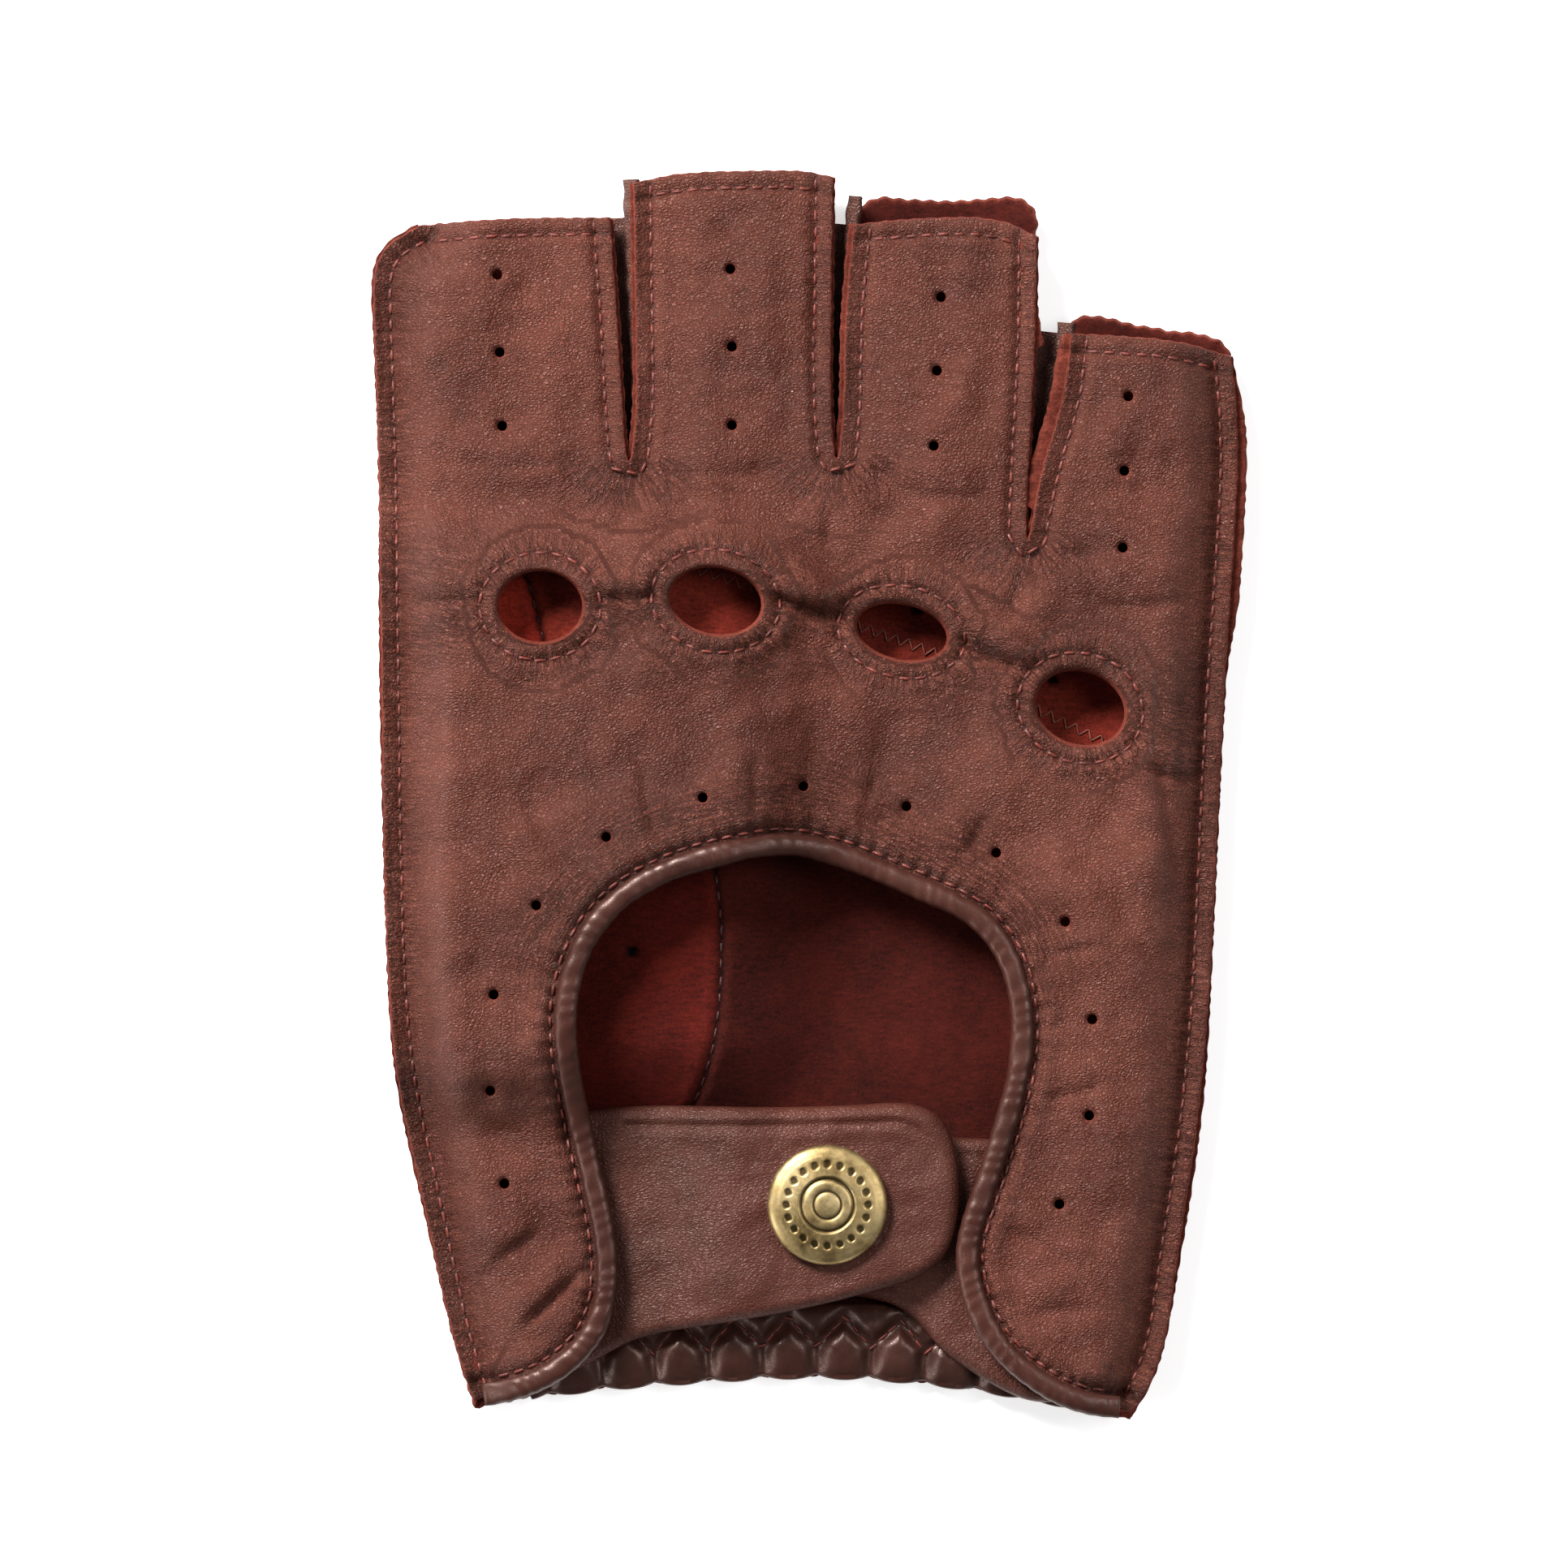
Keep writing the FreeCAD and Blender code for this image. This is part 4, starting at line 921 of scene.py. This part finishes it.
def add_flows(obj):
    """Stores the crease directions on every point of a leather piece, and the weight of the painted shade in
    its stitch grooves.
    """
    p = plan_points(obj)
    for name, values in zip(("flow_seam", "flow_fold"), flows(p)):
        layer = obj.data.attributes.new(name, "FLOAT_VECTOR", "POINT")
        layer.data.foreach_set("vector", values.astype(np.float32).ravel())
    d = seam_field(p)[0]
    # painted shade along the stitch grooves, read by the leather material
    groove = 0.62 * bell(d, STITCH_INSET, 0.28)
    for line in tip_lines:
        groove = np.maximum(groove, 0.5 * np.exp(-((nearest(p, line)[0] - 2.1) / 0.28) ** 2))
    groove = np.maximum(groove, 0.7 * np.exp(-((nearest(p, cut_line)[0] - 3.35) / 0.35) ** 2))
    groove = np.maximum(groove, 0.8 * np.exp(-((nearest(p, cut_line)[0] - 2.6) / 0.4) ** 2))
    for hole in HOLES.values():
        edge = oval(*hole)
        far = nearest(p, closed(edge))[0]
        groove = np.maximum(groove, 0.55 * bell(far, STITCH_INSET, 0.26))
    set_point_value(obj, "groove", groove)


finger_runs = [tip_lines[0], fork_lines[0], tip_lines[1], fork_lines[1], tip_lines[2], fork_lines[2],
               tip_lines[3]]
cover = beside(cut_line, -0.9)
back_loop = raw_loop([left_line] + finger_runs + [right_line[:-2], cover], 0.05, 5)
vent_loops = [oval(x, y, 0.68, 0.68, 0, step=0.36) for x, y in VENTS]
hole_loops = [oval(*h) for h in HOLES.values()]
back_plan = plan_mesh(back_loop, vent_loops + hole_loops, 0.72, 0.5, 3.6)


def back_bevel(p):
    vent = np.min([radius_from(p, (x, y)) for x, y in VENTS], 0)
    tip = np.min([nearest(p, line)[0] for line in tip_lines], 0)
    return np.where(vent < 1.2, 0.04, np.where(tip < 0.4, 0.08, 0.15))


back = sheet("back_leather", back_plan, back_top, LEATHER, [grain, suede_back, raw_edge], 0.05, back_bevel)
add_flows(back)
bend(back)
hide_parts("back_panel_hand", "back_panel_fingers")

palm_runs = [tip_lines[0], fork_lines[0], tip_lines[1], fork_lines[1], spline(RING_PALM_TIP), fork_lines[2],
             spline(LITTLE_PALM_TIP)]
palm_loop = raw_loop([left_line] + palm_runs + [right_line, hem_line], 0.12, 9)
vent_marks = [(np.array([[x - 0.1, y], [x + 0.1, y]]), 1.6) for x, y in PALM_VENTS]
palm_plan = plan_mesh(palm_loop, [], 1.1, 0.5, 3.0, [(gusset_line, 2.0)] + vent_marks)
palm = sheet("palm_leather", palm_plan, palm_top, 0.75, [suede, grain, raw_edge], 0.12,
             lambda p: np.full(len(p), 0.2))
flat = plan_points(palm)
g = nearest(flat, gusset_line)[0]
inset_loop = np.vstack([gusset_line, [[-60.0, -55.5], [-60.0, 31.0]]])
set_point_value(palm, "inset", np.where(inside(flat, inset_loop), step01(g / 0.4), 0.0))
vent = np.min([radius_from(flat, (x, y)) for x, y in PALM_VENTS], 0)
# painted shade: a dark line in the gusset seam groove and dark spots at the uncut palm vents
set_point_value(palm, "seam", np.maximum(0.95 * bell(g, 0, 0.30), step01((0.95 - vent) / 0.4)))
set_point_value(palm, "raw", 0.9 * step01(1 - nearest(flat, closed(palm_loop))[0] / 0.8))
# painted light: weight of the brightening on the suede under each knuckle opening
openings = [(radius_from(flat, (x, y)) / (a + 1.5)) ** 2 for x, y, a, b, tilt in HOLES.values()]
set_point_value(palm, "painted_hole_light", step01(1.6 - np.min(openings, 0)))
bend(palm)
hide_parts("palm_panel_hand", "palm_panel_fingers", "thumb_gusset")

# Zigzag rows of thread that hold the palm patch, seen through the knuckle openings.
ROWS = {
    "middle": [(-14.6, 28.6), (-4.8, 25.4)],
    "ring": [(5.6, 21.6), (17.6, 17.3)],
    "little": [(28.2, 11.1), (38.4, 6.2)],
}
for finger, ends in ROWS.items():
    line = resample(np.array(ends, float), 0.85)
    n = normals(line)
    zig_line = line + n * (0.62 * np.where(np.arange(len(line)) % 2, 1, -1))[:, None]
    dense = resample(zig_line, 0.3)
    v, f = tube(np.column_stack([dense, palm_top(dense) + 0.10]), 0.11)
    row = new_object("palm_row_" + finger, v, f, [row_thread])
    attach(row, "hand")

# ---------------------------------------------------------------- seam threads


left_stitch = beside(left_line, -STITCH_INSET)
right_stitch = beside(right_line, -STITCH_INSET)
left_stitch = left_stitch[left_stitch[:, 1] > -74.5]
right_stitch = right_stitch[right_stitch[:, 1] > -75.5]
left_thread = stitches("side_stitches_index", left_stitch, back_top, thread, seed=2)
right_thread = stitches("side_stitches_little", right_stitch, back_top, thread, seed=3)
for obj, side in ((left_thread, "index"), (right_thread, "little")):
    bend(obj)
    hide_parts("side_thread_%s_hand" % side, "side_thread_%s_finger" % side)
for i, (line, fork) in enumerate(zip(fork_lines, ("index_middle", "middle_ring", "ring_little"))):
    obj = stitches("fork_stitches_" + fork, beside(line, -STITCH_INSET), back_top, thread, seed=20 + i)
    bend(obj)
    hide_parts("fork_thread_" + fork)
for i, (line, finger) in enumerate(zip(tip_lines, ("index", "middle", "ring", "little"))):
    inner = beside(line, -STITCH_INSET)
    inner = inner[(arc(inner) > 1.8) & (arc(inner) < arc(inner)[-1] - 1.8)]
    obj = stitches("tip_stitches_" + finger, inner, back_top, thread, seed=30 + i)
    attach(obj, "fingers")
    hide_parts("tip_thread_" + finger)
for i, (finger, hole) in enumerate(HOLES.items()):
    ring = oval(*hole, grow=STITCH_INSET)
    obj = stitches("knuckle_stitches_" + finger, closed(ring), back_top, thread, pitch=2.0, seed=40 + i)
    bend(obj)
    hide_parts("knuckle_thread_" + finger)
    facing_plan = plan_mesh(oval(*hole, grow=2.9), [oval(*hole, grow=-0.12)], 0.9, 0.5, 1.5)
    facing = sheet("knuckle_lining_" + finger, facing_plan, lambda p: back_top(p) - 0.06 - LEATHER, 0.4,
                   [suede_back, suede, raw_edge], 0.08)
    bend(facing)
    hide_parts("knuckle_facing_" + finger)

# ---------------------------------------------------------------- raw flanges beside the back leather


def flange(name, line, reach, drop=0.55):
    """Strip of the layer below, from under the back leather out to reach(s) beyond its edge."""
    path = resample(line, 0.45)
    n, s = normals(path), arc(path)
    out = reach(s, path) + 0.07 * np.sin(s * 2.9 + 2 * np.sin(s * 0.7))
    level = back_top(path - n * 0.05) - LEATHER - 0.08
    rows = [(-2.0, 0.0, 0.0), (-0.6, 0.0, 0.0), (0.5, 0.02, 0.0), (1.0, 0.10, 0.0), (1.0, 0.10, -drop),
            (-2.0, 0.0, -drop)]
    grid = []
    for at, rise, sink in rows:
        shift = np.where(at > 0, at * out, at)
        wobble = 0.08 * np.sin(s * 2.1 + at * 2) if at > 0 else 0
        grid.append(np.column_stack([path + n * shift[:, None], level + rise + sink + wobble]))
    strip = new_object(name, np.vstack(grid), loft_faces(len(rows), len(path)), [raw_edge])
    bend(strip)
    return strip


def hump(v, low, high, soft):
    return step01((v - low) / soft) * step01((high - v) / soft)


flange("flange_index_side", left_line, lambda s, q: 0.22 + 0.12 * np.sin(q[:, 1] * 0.11))
flange("flange_little_side", right_line,
       lambda s, q: 0.22 + 0.95 * hump(q[:, 1], 14, 56, 12) + 0.3 * hump(q[:, 1], -70, -20, 20))
flange("flange_index_middle", fork_lines[0], lambda s, q: 0.34 + 0.12 * (q[:, 0] > -22.0))
flange("flange_middle_ring", fork_lines[1], lambda s, q: 0.30 + 0.30 * (q[:, 0] > 3.9))
flange("flange_ring_little", fork_lines[2],
       lambda s, q: 0.30 + 1.25 * (q[:, 0] > 28.6) * hump(q[:, 1], 30, 62, 9))

# ---------------------------------------------------------------- binding of the cut-out


def binding_mesh():
    path = resample(cut_line, 0.42)[3:-3]
    nrm = normals(path)
    s = arc(path)
    level = back_top(path - nrm * 4.6) * 0.55 + back_top(path - nrm * 6.5) * 0.45 - 0.42
    level = np.convolve(np.pad(level, 12, mode="edge"), np.ones(25) / 25, "valid")
    beat = stitch_beat(s)
    slow = waves(path, 11, 31)
    sides = 18
    u = np.linspace(0, 2 * math.pi, sides, endpoint=False)
    wide = 1.42 + 0.05 * slow + 0.03 * beat
    high = 1.12 + 0.05 * waves(path, 7, 32)
    near = np.exp(-(np.minimum(s, s[-1] - s) / 2.5) ** 2)
    high = high * (1 - 0.45 * near)
    cu = np.sign(np.cos(u)) * np.abs(np.cos(u)) ** 0.8
    su = np.sign(np.sin(u)) * np.abs(np.sin(u)) ** 0.9
    crease = 0.07 * np.sin(s[:, None] * 3.1 + 2.2 * np.sin(s * 0.7)[:, None] + 2 * np.cos(u)[None])
    crease = crease * (np.sin(u)[None] > -0.2)
    across = wide[:, None] * cu[None]
    up = high[:, None] * su[None] + crease
    centre = path - nrm * 1.42
    verts = np.zeros((len(path), sides, 3))
    verts[..., :2] = centre[:, None] + nrm[:, None] * across[..., None]
    verts[..., 2] = level[:, None] + up
    return verts.reshape(-1, 3), tube_faces(len(path), sides)


verts, faces = binding_mesh()
binding = new_object("cutout_rolled_binding", verts, faces, [binding_grain])
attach(binding, "hand")
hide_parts("cutout_binding")
line = beside(cut_line, -3.35)
line = line[(arc(line) > 3.0) & (arc(line) < arc(line)[-1] - 3.0)]
obj = stitches("binding_stitches", line, back_top, thread, seed=50, raise_by=0.14)
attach(obj, "hand")
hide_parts("binding_thread")

# ---------------------------------------------------------------- wrist hem, elastic and gusset seam

HEM_PITCH = 6.7
s_hem = arc(hem_line)
zig_at = np.arange(6.0, s_hem[-1] - 6.0, HEM_PITCH / 2)
zig_points = resample(hem_line, at=zig_at)
zig_normal = np.stack([np.interp(zig_at, s_hem, normals(hem_line)[:, i]) for i in (0, 1)], 1)
zig_depth = np.where(np.arange(len(zig_at)) % 2, 7.4, 3.6)
zig_corners = zig_points - zig_normal * zig_depth[:, None]
zig_path = resample(zig_corners, 0.25)


def hem_top(p):
    """Gathered hem: puffs between the zigzag points, tight where the thread pulls."""
    d, s = nearest(p, hem_line)
    pull = nearest(p, zig_path)[0]
    beat = np.abs(np.sin(math.pi * (s - 6.0) / HEM_PITCH))
    outer = step01((6.0 - d) / 3.0)
    valley = 1 - 0.85 * np.exp(-((beat / 0.50) ** 2)) * outer
    body = np.sqrt(np.clip(1 - ((4.6 - d) / 4.9) ** 2, 0, 1))
    drawn = 0.35 + 0.45 * step01((d - 3.4) / 2.0)
    rise = 1.75 * body * valley * (1 - drawn * bell(pull, 0, 0.95))
    z = 1.7 + rise + 0.04 * waves(p, 2.6, 61) * body
    tab = np.vstack([spline(UNDER_TAB), [[33.5, -60.0]]])
    under = inside(p, tab) | (nearest(p, spline(UNDER_TAB))[0] < 0.7)
    return np.where(under, np.minimum(z, 1.75 + 1.5 * step01((p[:, 0] - 8) / 12)), z)


def hem_outline():
    s = arc(hem_line)
    wave = 0.75 * np.abs(np.sin(math.pi * (s - 6.0) / HEM_PITCH)) ** 0.7
    edge = hem_line + normals(hem_line) * (wave - 0.45)[:, None]
    top = beside(hem_line, -9.0)
    edge = edge[(s > 7) & (s < s[-1] - 7)]
    top = top[(arc(top) > 4) & (arc(top) < arc(top)[-1] - 4)]
    return np.vstack([edge, top[::-1]])


hem = sheet("gathered_wrist_hem", plan_mesh(hem_outline(), [], 0.42, 0.36, 1.5), hem_top, 0.55,
            [hem_grain, suede_back, hem_grain], 0.2)
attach(hem, "hand")
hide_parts("wrist_hem")

zigzag = stitches("hem_zigzag", zig_path, hem_top, thread, pitch=1.7, length=1.5, width=0.18, seed=60)
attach(zigzag, "hand")
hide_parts("hem_thread")

seam = beside(gusset_line, 0.0001)
seam = seam[(seam[:, 0] > -42)]
gusset_thread = stitches("gusset_stitches", seam, palm_top, inner_thread,
                         pitch=2.1, length=1.5, width=0.16, raise_by=0.02, seed=61)
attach(gusset_thread, "hand")
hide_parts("gusset_thread")

# ---------------------------------------------------------------- strap and under tab

STRAP_FOLD = [(-22.3, -41.3), (-5.0, -41.3), (8.0, -40.9), (13.0, -41.3), (15.2, -43.4), (16.2, -46.5)]
SNAP = (2.7, -51.1)
strap_line = spline(STRAP_EDGE)
root_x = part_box("strap_outer")[0][0] / MM


def strap_top(p):
    edge = nearest(p, strap_line)[0]
    climb = step01((p[:, 0] - root_x) / 15)
    z = 4.9 + 3.0 * climb
    z += -0.55 * (1 - np.sin(math.pi / 2 * np.clip(edge / 1.1, 0, 1)))
    z += 0.10 * waves(p, 12, 71) + 0.03 * waves(p, 3, 72)
    fold = spline(STRAP_FOLD, 0.6)
    f, fs = nearest(p, fold)
    fade = step01((arc(fold)[-1] - fs) / 9)
    z += fade * (-0.30 * bell(f, 0, 0.42) + 0.20 * bell(f, 1.0, 0.6))
    snap = radius_from(p, SNAP)
    z += -0.28 * bell(snap, 7.6, 1.0)
    angle = np.arctan2(p[:, 1] - SNAP[1], p[:, 0] - SNAP[0])
    spokes = np.maximum(0, np.cos(angle * 9 + 1.1 * np.sin(angle * 2))) ** 3
    z += -0.16 * spokes * bell(snap, 9.5, 2.2)
    low = step01((-57.0 - p[:, 1]) / 8)
    z += -0.14 * low * np.maximum(0, np.sin(p[:, 0] * 1.35 + 0.6 * np.sin(p[:, 1] * 0.5))) ** 2
    return z


strap_loop = np.vstack([strap_line, [[-31.2, -56.0]]])
strap_plan = plan_mesh(strap_loop, [], 0.9, 0.5, 3.2)
strap = sheet("snap_strap", strap_plan, strap_top, 1.55, [strap_grain, suede_back, strap_grain], 0.25)
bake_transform(strap)
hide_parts("strap_outer", "strap_lining", "strap_root_outer", "strap_root_lining")

tab_line = spline(UNDER_TAB)


def tab_top(p):
    edge = nearest(p, tab_line)[0]
    climb = step01((p[:, 0] - 8) / 12)
    z = 3.4 + 1.5 * climb
    z += -0.5 * (1 - np.sin(math.pi / 2 * np.clip(edge / 1.0, 0, 1))) + 0.10 * waves(p, 9, 81)
    return z - 0.18 * bell(edge, 2.0, 0.4)


tab_loop = np.vstack([tab_line, [[33.5, -60.0]]])
tab = sheet("under_tab", plan_mesh(tab_loop, [], 0.95, 0.55, 3.0), tab_top, 1.5,
            [strap_grain, suede_back, strap_grain], 0.25)
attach(tab, "hand")
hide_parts("under_tab_outer", "under_tab_lining")

# ---------------------------------------------------------------- fourchettes


def fourchette(line, share, beyond):
    """Folded wall of a fork, from the palm flange to the back flange, bulging into the gap on each side."""
    lowest = line[line[:, 1].argmin()]
    first, second = line[:line[:, 1].argmin()], line[line[:, 1].argmin() + 1:]
    end = second[-1] + (second[-1] - second[-6]) / np.linalg.norm(second[-1] - second[-6]) * beyond
    path = resample(np.vstack([first, [lowest], second, [end]]), 0.5)
    n = normals(path)
    on_second = path[:, 0] > np.interp(path[:, 1], [lowest[1], lowest[1] + 3], [lowest[0], lowest[0] + 0.3])
    on_second &= arc(path) > arc(path)[path[:, 1].argmin()]
    gap = np.interp(path[:, 1], second[:, 1], second[:, 0])
    gap = gap - np.interp(path[:, 1], first[::-1, 1], first[::-1, 0])
    out = np.clip(gap, 0, 6) * np.where(on_second, share[1], share[0])
    low = base_heights(path)[0] + PALM
    high = back_top(path - n * 0.3) - LEATHER - 0.5
    tail = arc(path)[-1] - arc(path) < beyond
    if beyond:
        high[tail], low[tail] = high[~tail][-1], low[~tail][-1]
    rows, grid = 11, []
    for thick in (0.0, 0.6):
        layer = []
        for j in range(rows):
            t = j / (rows - 1)
            bulge = (out + 0.4) * math.sin(math.pi * (0.12 + 0.76 * t)) - 0.9 - thick
            fold = 0.10 * np.sin(arc(path) * 1.9 + 4 * t)
            layer.append(np.column_stack([path + n * (bulge + fold)[:, None], low + (high - low) * t]))
        grid += layer if thick == 0 else layer[::-1]
    return np.vstack(grid), loft_faces(2 * rows, len(path))


WALLS = {
    "index_middle": ((0.12, 0.62), 0.6),
    "middle_ring": ((0.15, 0.60), 3.6),
    "ring_little": ((0.16, 0.50), 1.4),
}
for line, (fork, (share, beyond)) in zip(fork_lines, WALLS.items()):
    v, f = fourchette(line, share, beyond)
    wall = new_object("fork_wall_" + fork, v, f, [wall_grain])
    bend(wall)
    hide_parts("fourchette_" + fork)

# Pleated foot of each fork wall, lying across the gap behind the finger tips.
for line, fork, top_y in zip(fork_lines, WALLS, (72.6, 72.0, 58.6)):
    loop = beside(line[line[:, 1] < top_y], -1.3, 0.6)
    web = sheet("fork_pleat_" + fork, plan_mesh(loop, [], 0.9, 0.6, 1.5),
                lambda p: base_heights(p)[0] + 1.75 + 0.15 * np.sin(p[:, 1] * 1.3), 0.6,
                [wall_grain, suede_back, raw_edge], 0.1)
    bend(web)

# ---------------------------------------------------------------- thumb

(sx0, sy0, sz0), (sx1, sy1, sz1) = [tuple(v / MM for v in c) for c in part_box("thumb_sleeve")]


def thumb_mesh():
    n, sides = 90, 64
    y = np.linspace(sy0 - 2.5, sy1, n)
    u = np.linspace(0, 2 * math.pi, sides, endpoint=False)
    verts = []
    for outer in (True, False):
        for i, v in enumerate(y):
            t = (v - sy0) / (sy1 - sy0)
            half = (sx1 - sx0) / 2 * (1 - 0.05 * step01(np.array([t]))[0]) - (0 if outer else 0.8)
            tall = (sz1 - sz0) / 2 - (0 if outer else 0.8)
            c = np.sign(np.cos(u)) * np.abs(np.cos(u)) ** 0.72
            s = np.sign(np.sin(u)) * np.abs(np.sin(u)) ** 0.55
            x = (sx0 + sx1) / 2 + half * c
            z = (sz0 + sz1) / 2 + tall * s
            ripple = 0.10 * np.sin(v * 0.9 + 3 * c) + 0.05 * np.sin(v * 2.3 + x * 0.7)
            z = z - np.where(s > 0.3, 1, 0) * (0.12 + 0.5 * ripple)
            verts.append(np.column_stack([x, np.full(sides, v), np.maximum(z, 0.0)]))
    grid = np.vstack(verts)
    faces, kinds = [], []
    for layer in (0, 1):
        base = layer * n * sides
        for i in range(n - 1):
            a, b = base + i * sides, base + (i + 1) * sides
            for k in range(sides):
                m = (k + 1) % sides
                f = [a + k, a + m, b + m, b + k]
                faces.append(f[::-1] if layer == 0 else f)
                kinds.append(0 if layer == 0 else 1)
    for i in (0, n - 1):
        for k in range(sides):
            m = (k + 1) % sides
            a, b = i * sides, n * sides + i * sides
            f = [a + k, a + m, b + m, b + k]
            faces.append(f if i else f[::-1])
            kinds.append(2)
    return grid, faces, kinds


v, f, kinds = thumb_mesh()
thumb = new_object("thumb_leather", v, f, [grain, suede, raw_edge], kinds)
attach(thumb, "thumb")
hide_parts("thumb_sleeve")


def thumb_top(p):
    return np.full(len(p), sz1 - 0.18)


thumb_edge = np.column_stack([np.full(60, sx0 + 3.4), np.linspace(sy0 - 0.5, sy1 - 1.5, 60)])
thumb_seam = stitches("thumb_stitches", thumb_edge, thumb_top, thread, seed=90)
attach(thumb_seam, "thumb")
thumb_tip = np.column_stack([np.linspace(sx0 + 4, sx1 - 4, 60), np.full(60, sy1 - 2.1)])
thumb_tip_seam = stitches("thumb_tip_stitches", thumb_tip, thumb_top, thread, seed=91)
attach(thumb_tip_seam, "thumb")

TONGUE = [(-46.5, -18.4), (-46.5, -38.0), (-38.0, -44.0), (-24.0, -44.0), (-15.0, -37.0), (-14.2, -18.4)]
tongue_loop = np.vstack([spline(ends, 0.6)[:-1] for ends in zip(TONGUE, TONGUE[1:] + TONGUE[:1])])
tongue = sheet("thumb_root_leather", plan_mesh(tongue_loop, [], 1.0, 0.7, 2.0),
               lambda p: np.full(len(p), 0.75), 0.72, [suede, grain, raw_edge], 0.1)
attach(tongue, "hand")
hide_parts("thumb_tongue")

# ---------------------------------------------------------------- press stud


def lathe(name, profile, centre, material, sides=96, ripple=None):
    """Turned piece. Profile is (radius, height) pairs in millimetres from the axis out and back."""
    profile = np.array(profile, float)
    u = np.linspace(0, 2 * math.pi, sides, endpoint=False)
    verts, faces = [], []
    for r, z in profile:
        extra = ripple(r, u) if ripple else 0
        verts.append(np.column_stack([centre[0] + r * np.cos(u), centre[1] + r * np.sin(u),
                                      np.full(sides, z) + extra]))
    rows = len(profile)
    for i in range(rows - 1):
        for k in range(sides):
            m = (k + 1) % sides
            faces.append([i * sides + k, i * sides + m, (i + 1) * sides + m, (i + 1) * sides + k][::-1])
    return new_object(name, np.vstack(verts), faces, [material])


cap_lo, cap_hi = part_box("snap_cap")
snap_c = ((cap_lo[0] + cap_hi[0]) / 2 / MM, (cap_lo[1] + cap_hi[1]) / 2 / MM)
base = cap_lo[2] / MM + 1.7
CAP = [(0.02, -1.7), (1.95, -1.7), (1.95, 0.0), (6.9, 0.0), (7.25, 0.08), (7.45, 0.32), (7.5, 0.6),
       (7.46, 0.9), (7.3, 1.18), (7.05, 1.38), (6.75, 1.52), (6.45, 1.62), (6.2, 1.69)]
CAP += [(r, 1.72 + 0.62 * (1 - (r / 6.2) ** 2)) for r in np.arange(6.05, 3.7, -0.1)]
CAP += [(3.65, 2.12), (3.5, 2.02), (3.35, 1.90), (3.2, 1.90), (3.05, 2.04), (2.9, 2.14), (2.6, 2.19),
        (2.2, 2.22), (1.95, 2.16), (1.8, 2.08), (1.65, 2.08), (1.5, 2.18), (1.2, 2.26), (0.6, 2.31),
        (0.02, 2.32)]
CAP_SIDES = 288
DOTS = 20
DOT_RING = 5.1


def marks(r, u):
    """Depth share of the evenly spaced round dots, sunk in a ring between the rim and the inner groove."""
    angle = (u * DOTS / (2 * math.pi) + 0.5) % 1 - 0.5
    away = np.hypot(r - DOT_RING, angle * 2 * math.pi / DOTS * DOT_RING)
    return step01((0.60 - away) / 0.22)


cap = lathe("snap_cap_dome", [(r, z + base) for r, z in CAP], snap_c, brass, CAP_SIDES,
            lambda r, u: -0.14 * marks(r, u))
turns = np.linspace(0, 2 * math.pi, CAP_SIDES, endpoint=False)
sunk = []
for r, z in CAP:
    groove = 1.3 * math.exp(-((r - 3.28) / 0.22) ** 2) + 1.1 * math.exp(-((r - 1.72) / 0.18) ** 2)
    sunk.append(np.clip(0.9 * marks(r, turns) + groove * (z > 1), 0, 0.95))
set_point_value(cap, "sunk", np.concatenate(sunk))
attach(cap, "strap")
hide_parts("snap_cap")

# ---------------------------------------------------------------- solids that show as they are

SHOWN = {"snap_socket": brass, "snap_stud": brass, "snap_post": brass, "snap_spring": steel,
         "wrist_elastic": elastic}
for node, material in SHOWN.items():
    frame["nodes"][node].data.materials.clear()
    frame["nodes"][node].data.materials.append(material)

# ---------------------------------------------------------------- floor, light and camera

floor_material = Nodes("pale_floor")
floor_material.finish(Base_Color=(0.7, 0.7, 0.7, 1), Roughness=0.9, Specular_IOR_Level=0.0,
                      Emission_Color=(1, 1, 1, 1), Emission_Strength=0.62)
bpy.ops.mesh.primitive_plane_add(size=6.0, location=(0, 0, -0.0002))
floor = bpy.context.object
floor.name = "studio_floor"
floor.data.materials.append(floor_material.material)

world = bpy.data.worlds.new("studio")
bpy.context.scene.world = world
world.use_nodes = True
world.node_tree.nodes["Background"].inputs["Color"].default_value = (1, 1, 1, 1)
world.node_tree.nodes["Background"].inputs["Strength"].default_value = 0.20
bpy.context.scene.view_settings.view_transform = "Standard"


def softbox(name, location, target, size, power):
    light = bpy.data.lights.new(name, "AREA")
    light.shape = "RECTANGLE"
    light.size, light.size_y = size
    light.energy = power
    obj = bpy.data.objects.new(name, light)
    obj.location = location
    obj.rotation_euler = (Vector(target) - Vector(location)).to_track_quat("-Z", "Y").to_euler()
    bpy.context.scene.collection.objects.link(obj)
    return obj


softbox("key", (-0.52, 0.68, 0.62), (0, 0, 0), (0.4, 0.4), 34)
softbox("fill", (0.75, 0.25, 0.8), (0, 0, 0), (0.6, 0.6), 6)
softbox("rim", (-0.9, -0.35, 0.45), (0, 0, 0), (0.5, 0.5), 5)

camera_data = bpy.data.cameras.new("camera")
camera = bpy.data.objects.new("camera", camera_data)
bpy.context.scene.collection.objects.link(camera)
half_view = 0.0979
distance = 1.6
camera_data.angle = 2 * math.atan(half_view / distance)
camera.location = (-0.0027, 0.0014, distance + 0.007)
bpy.context.scene.camera = camera
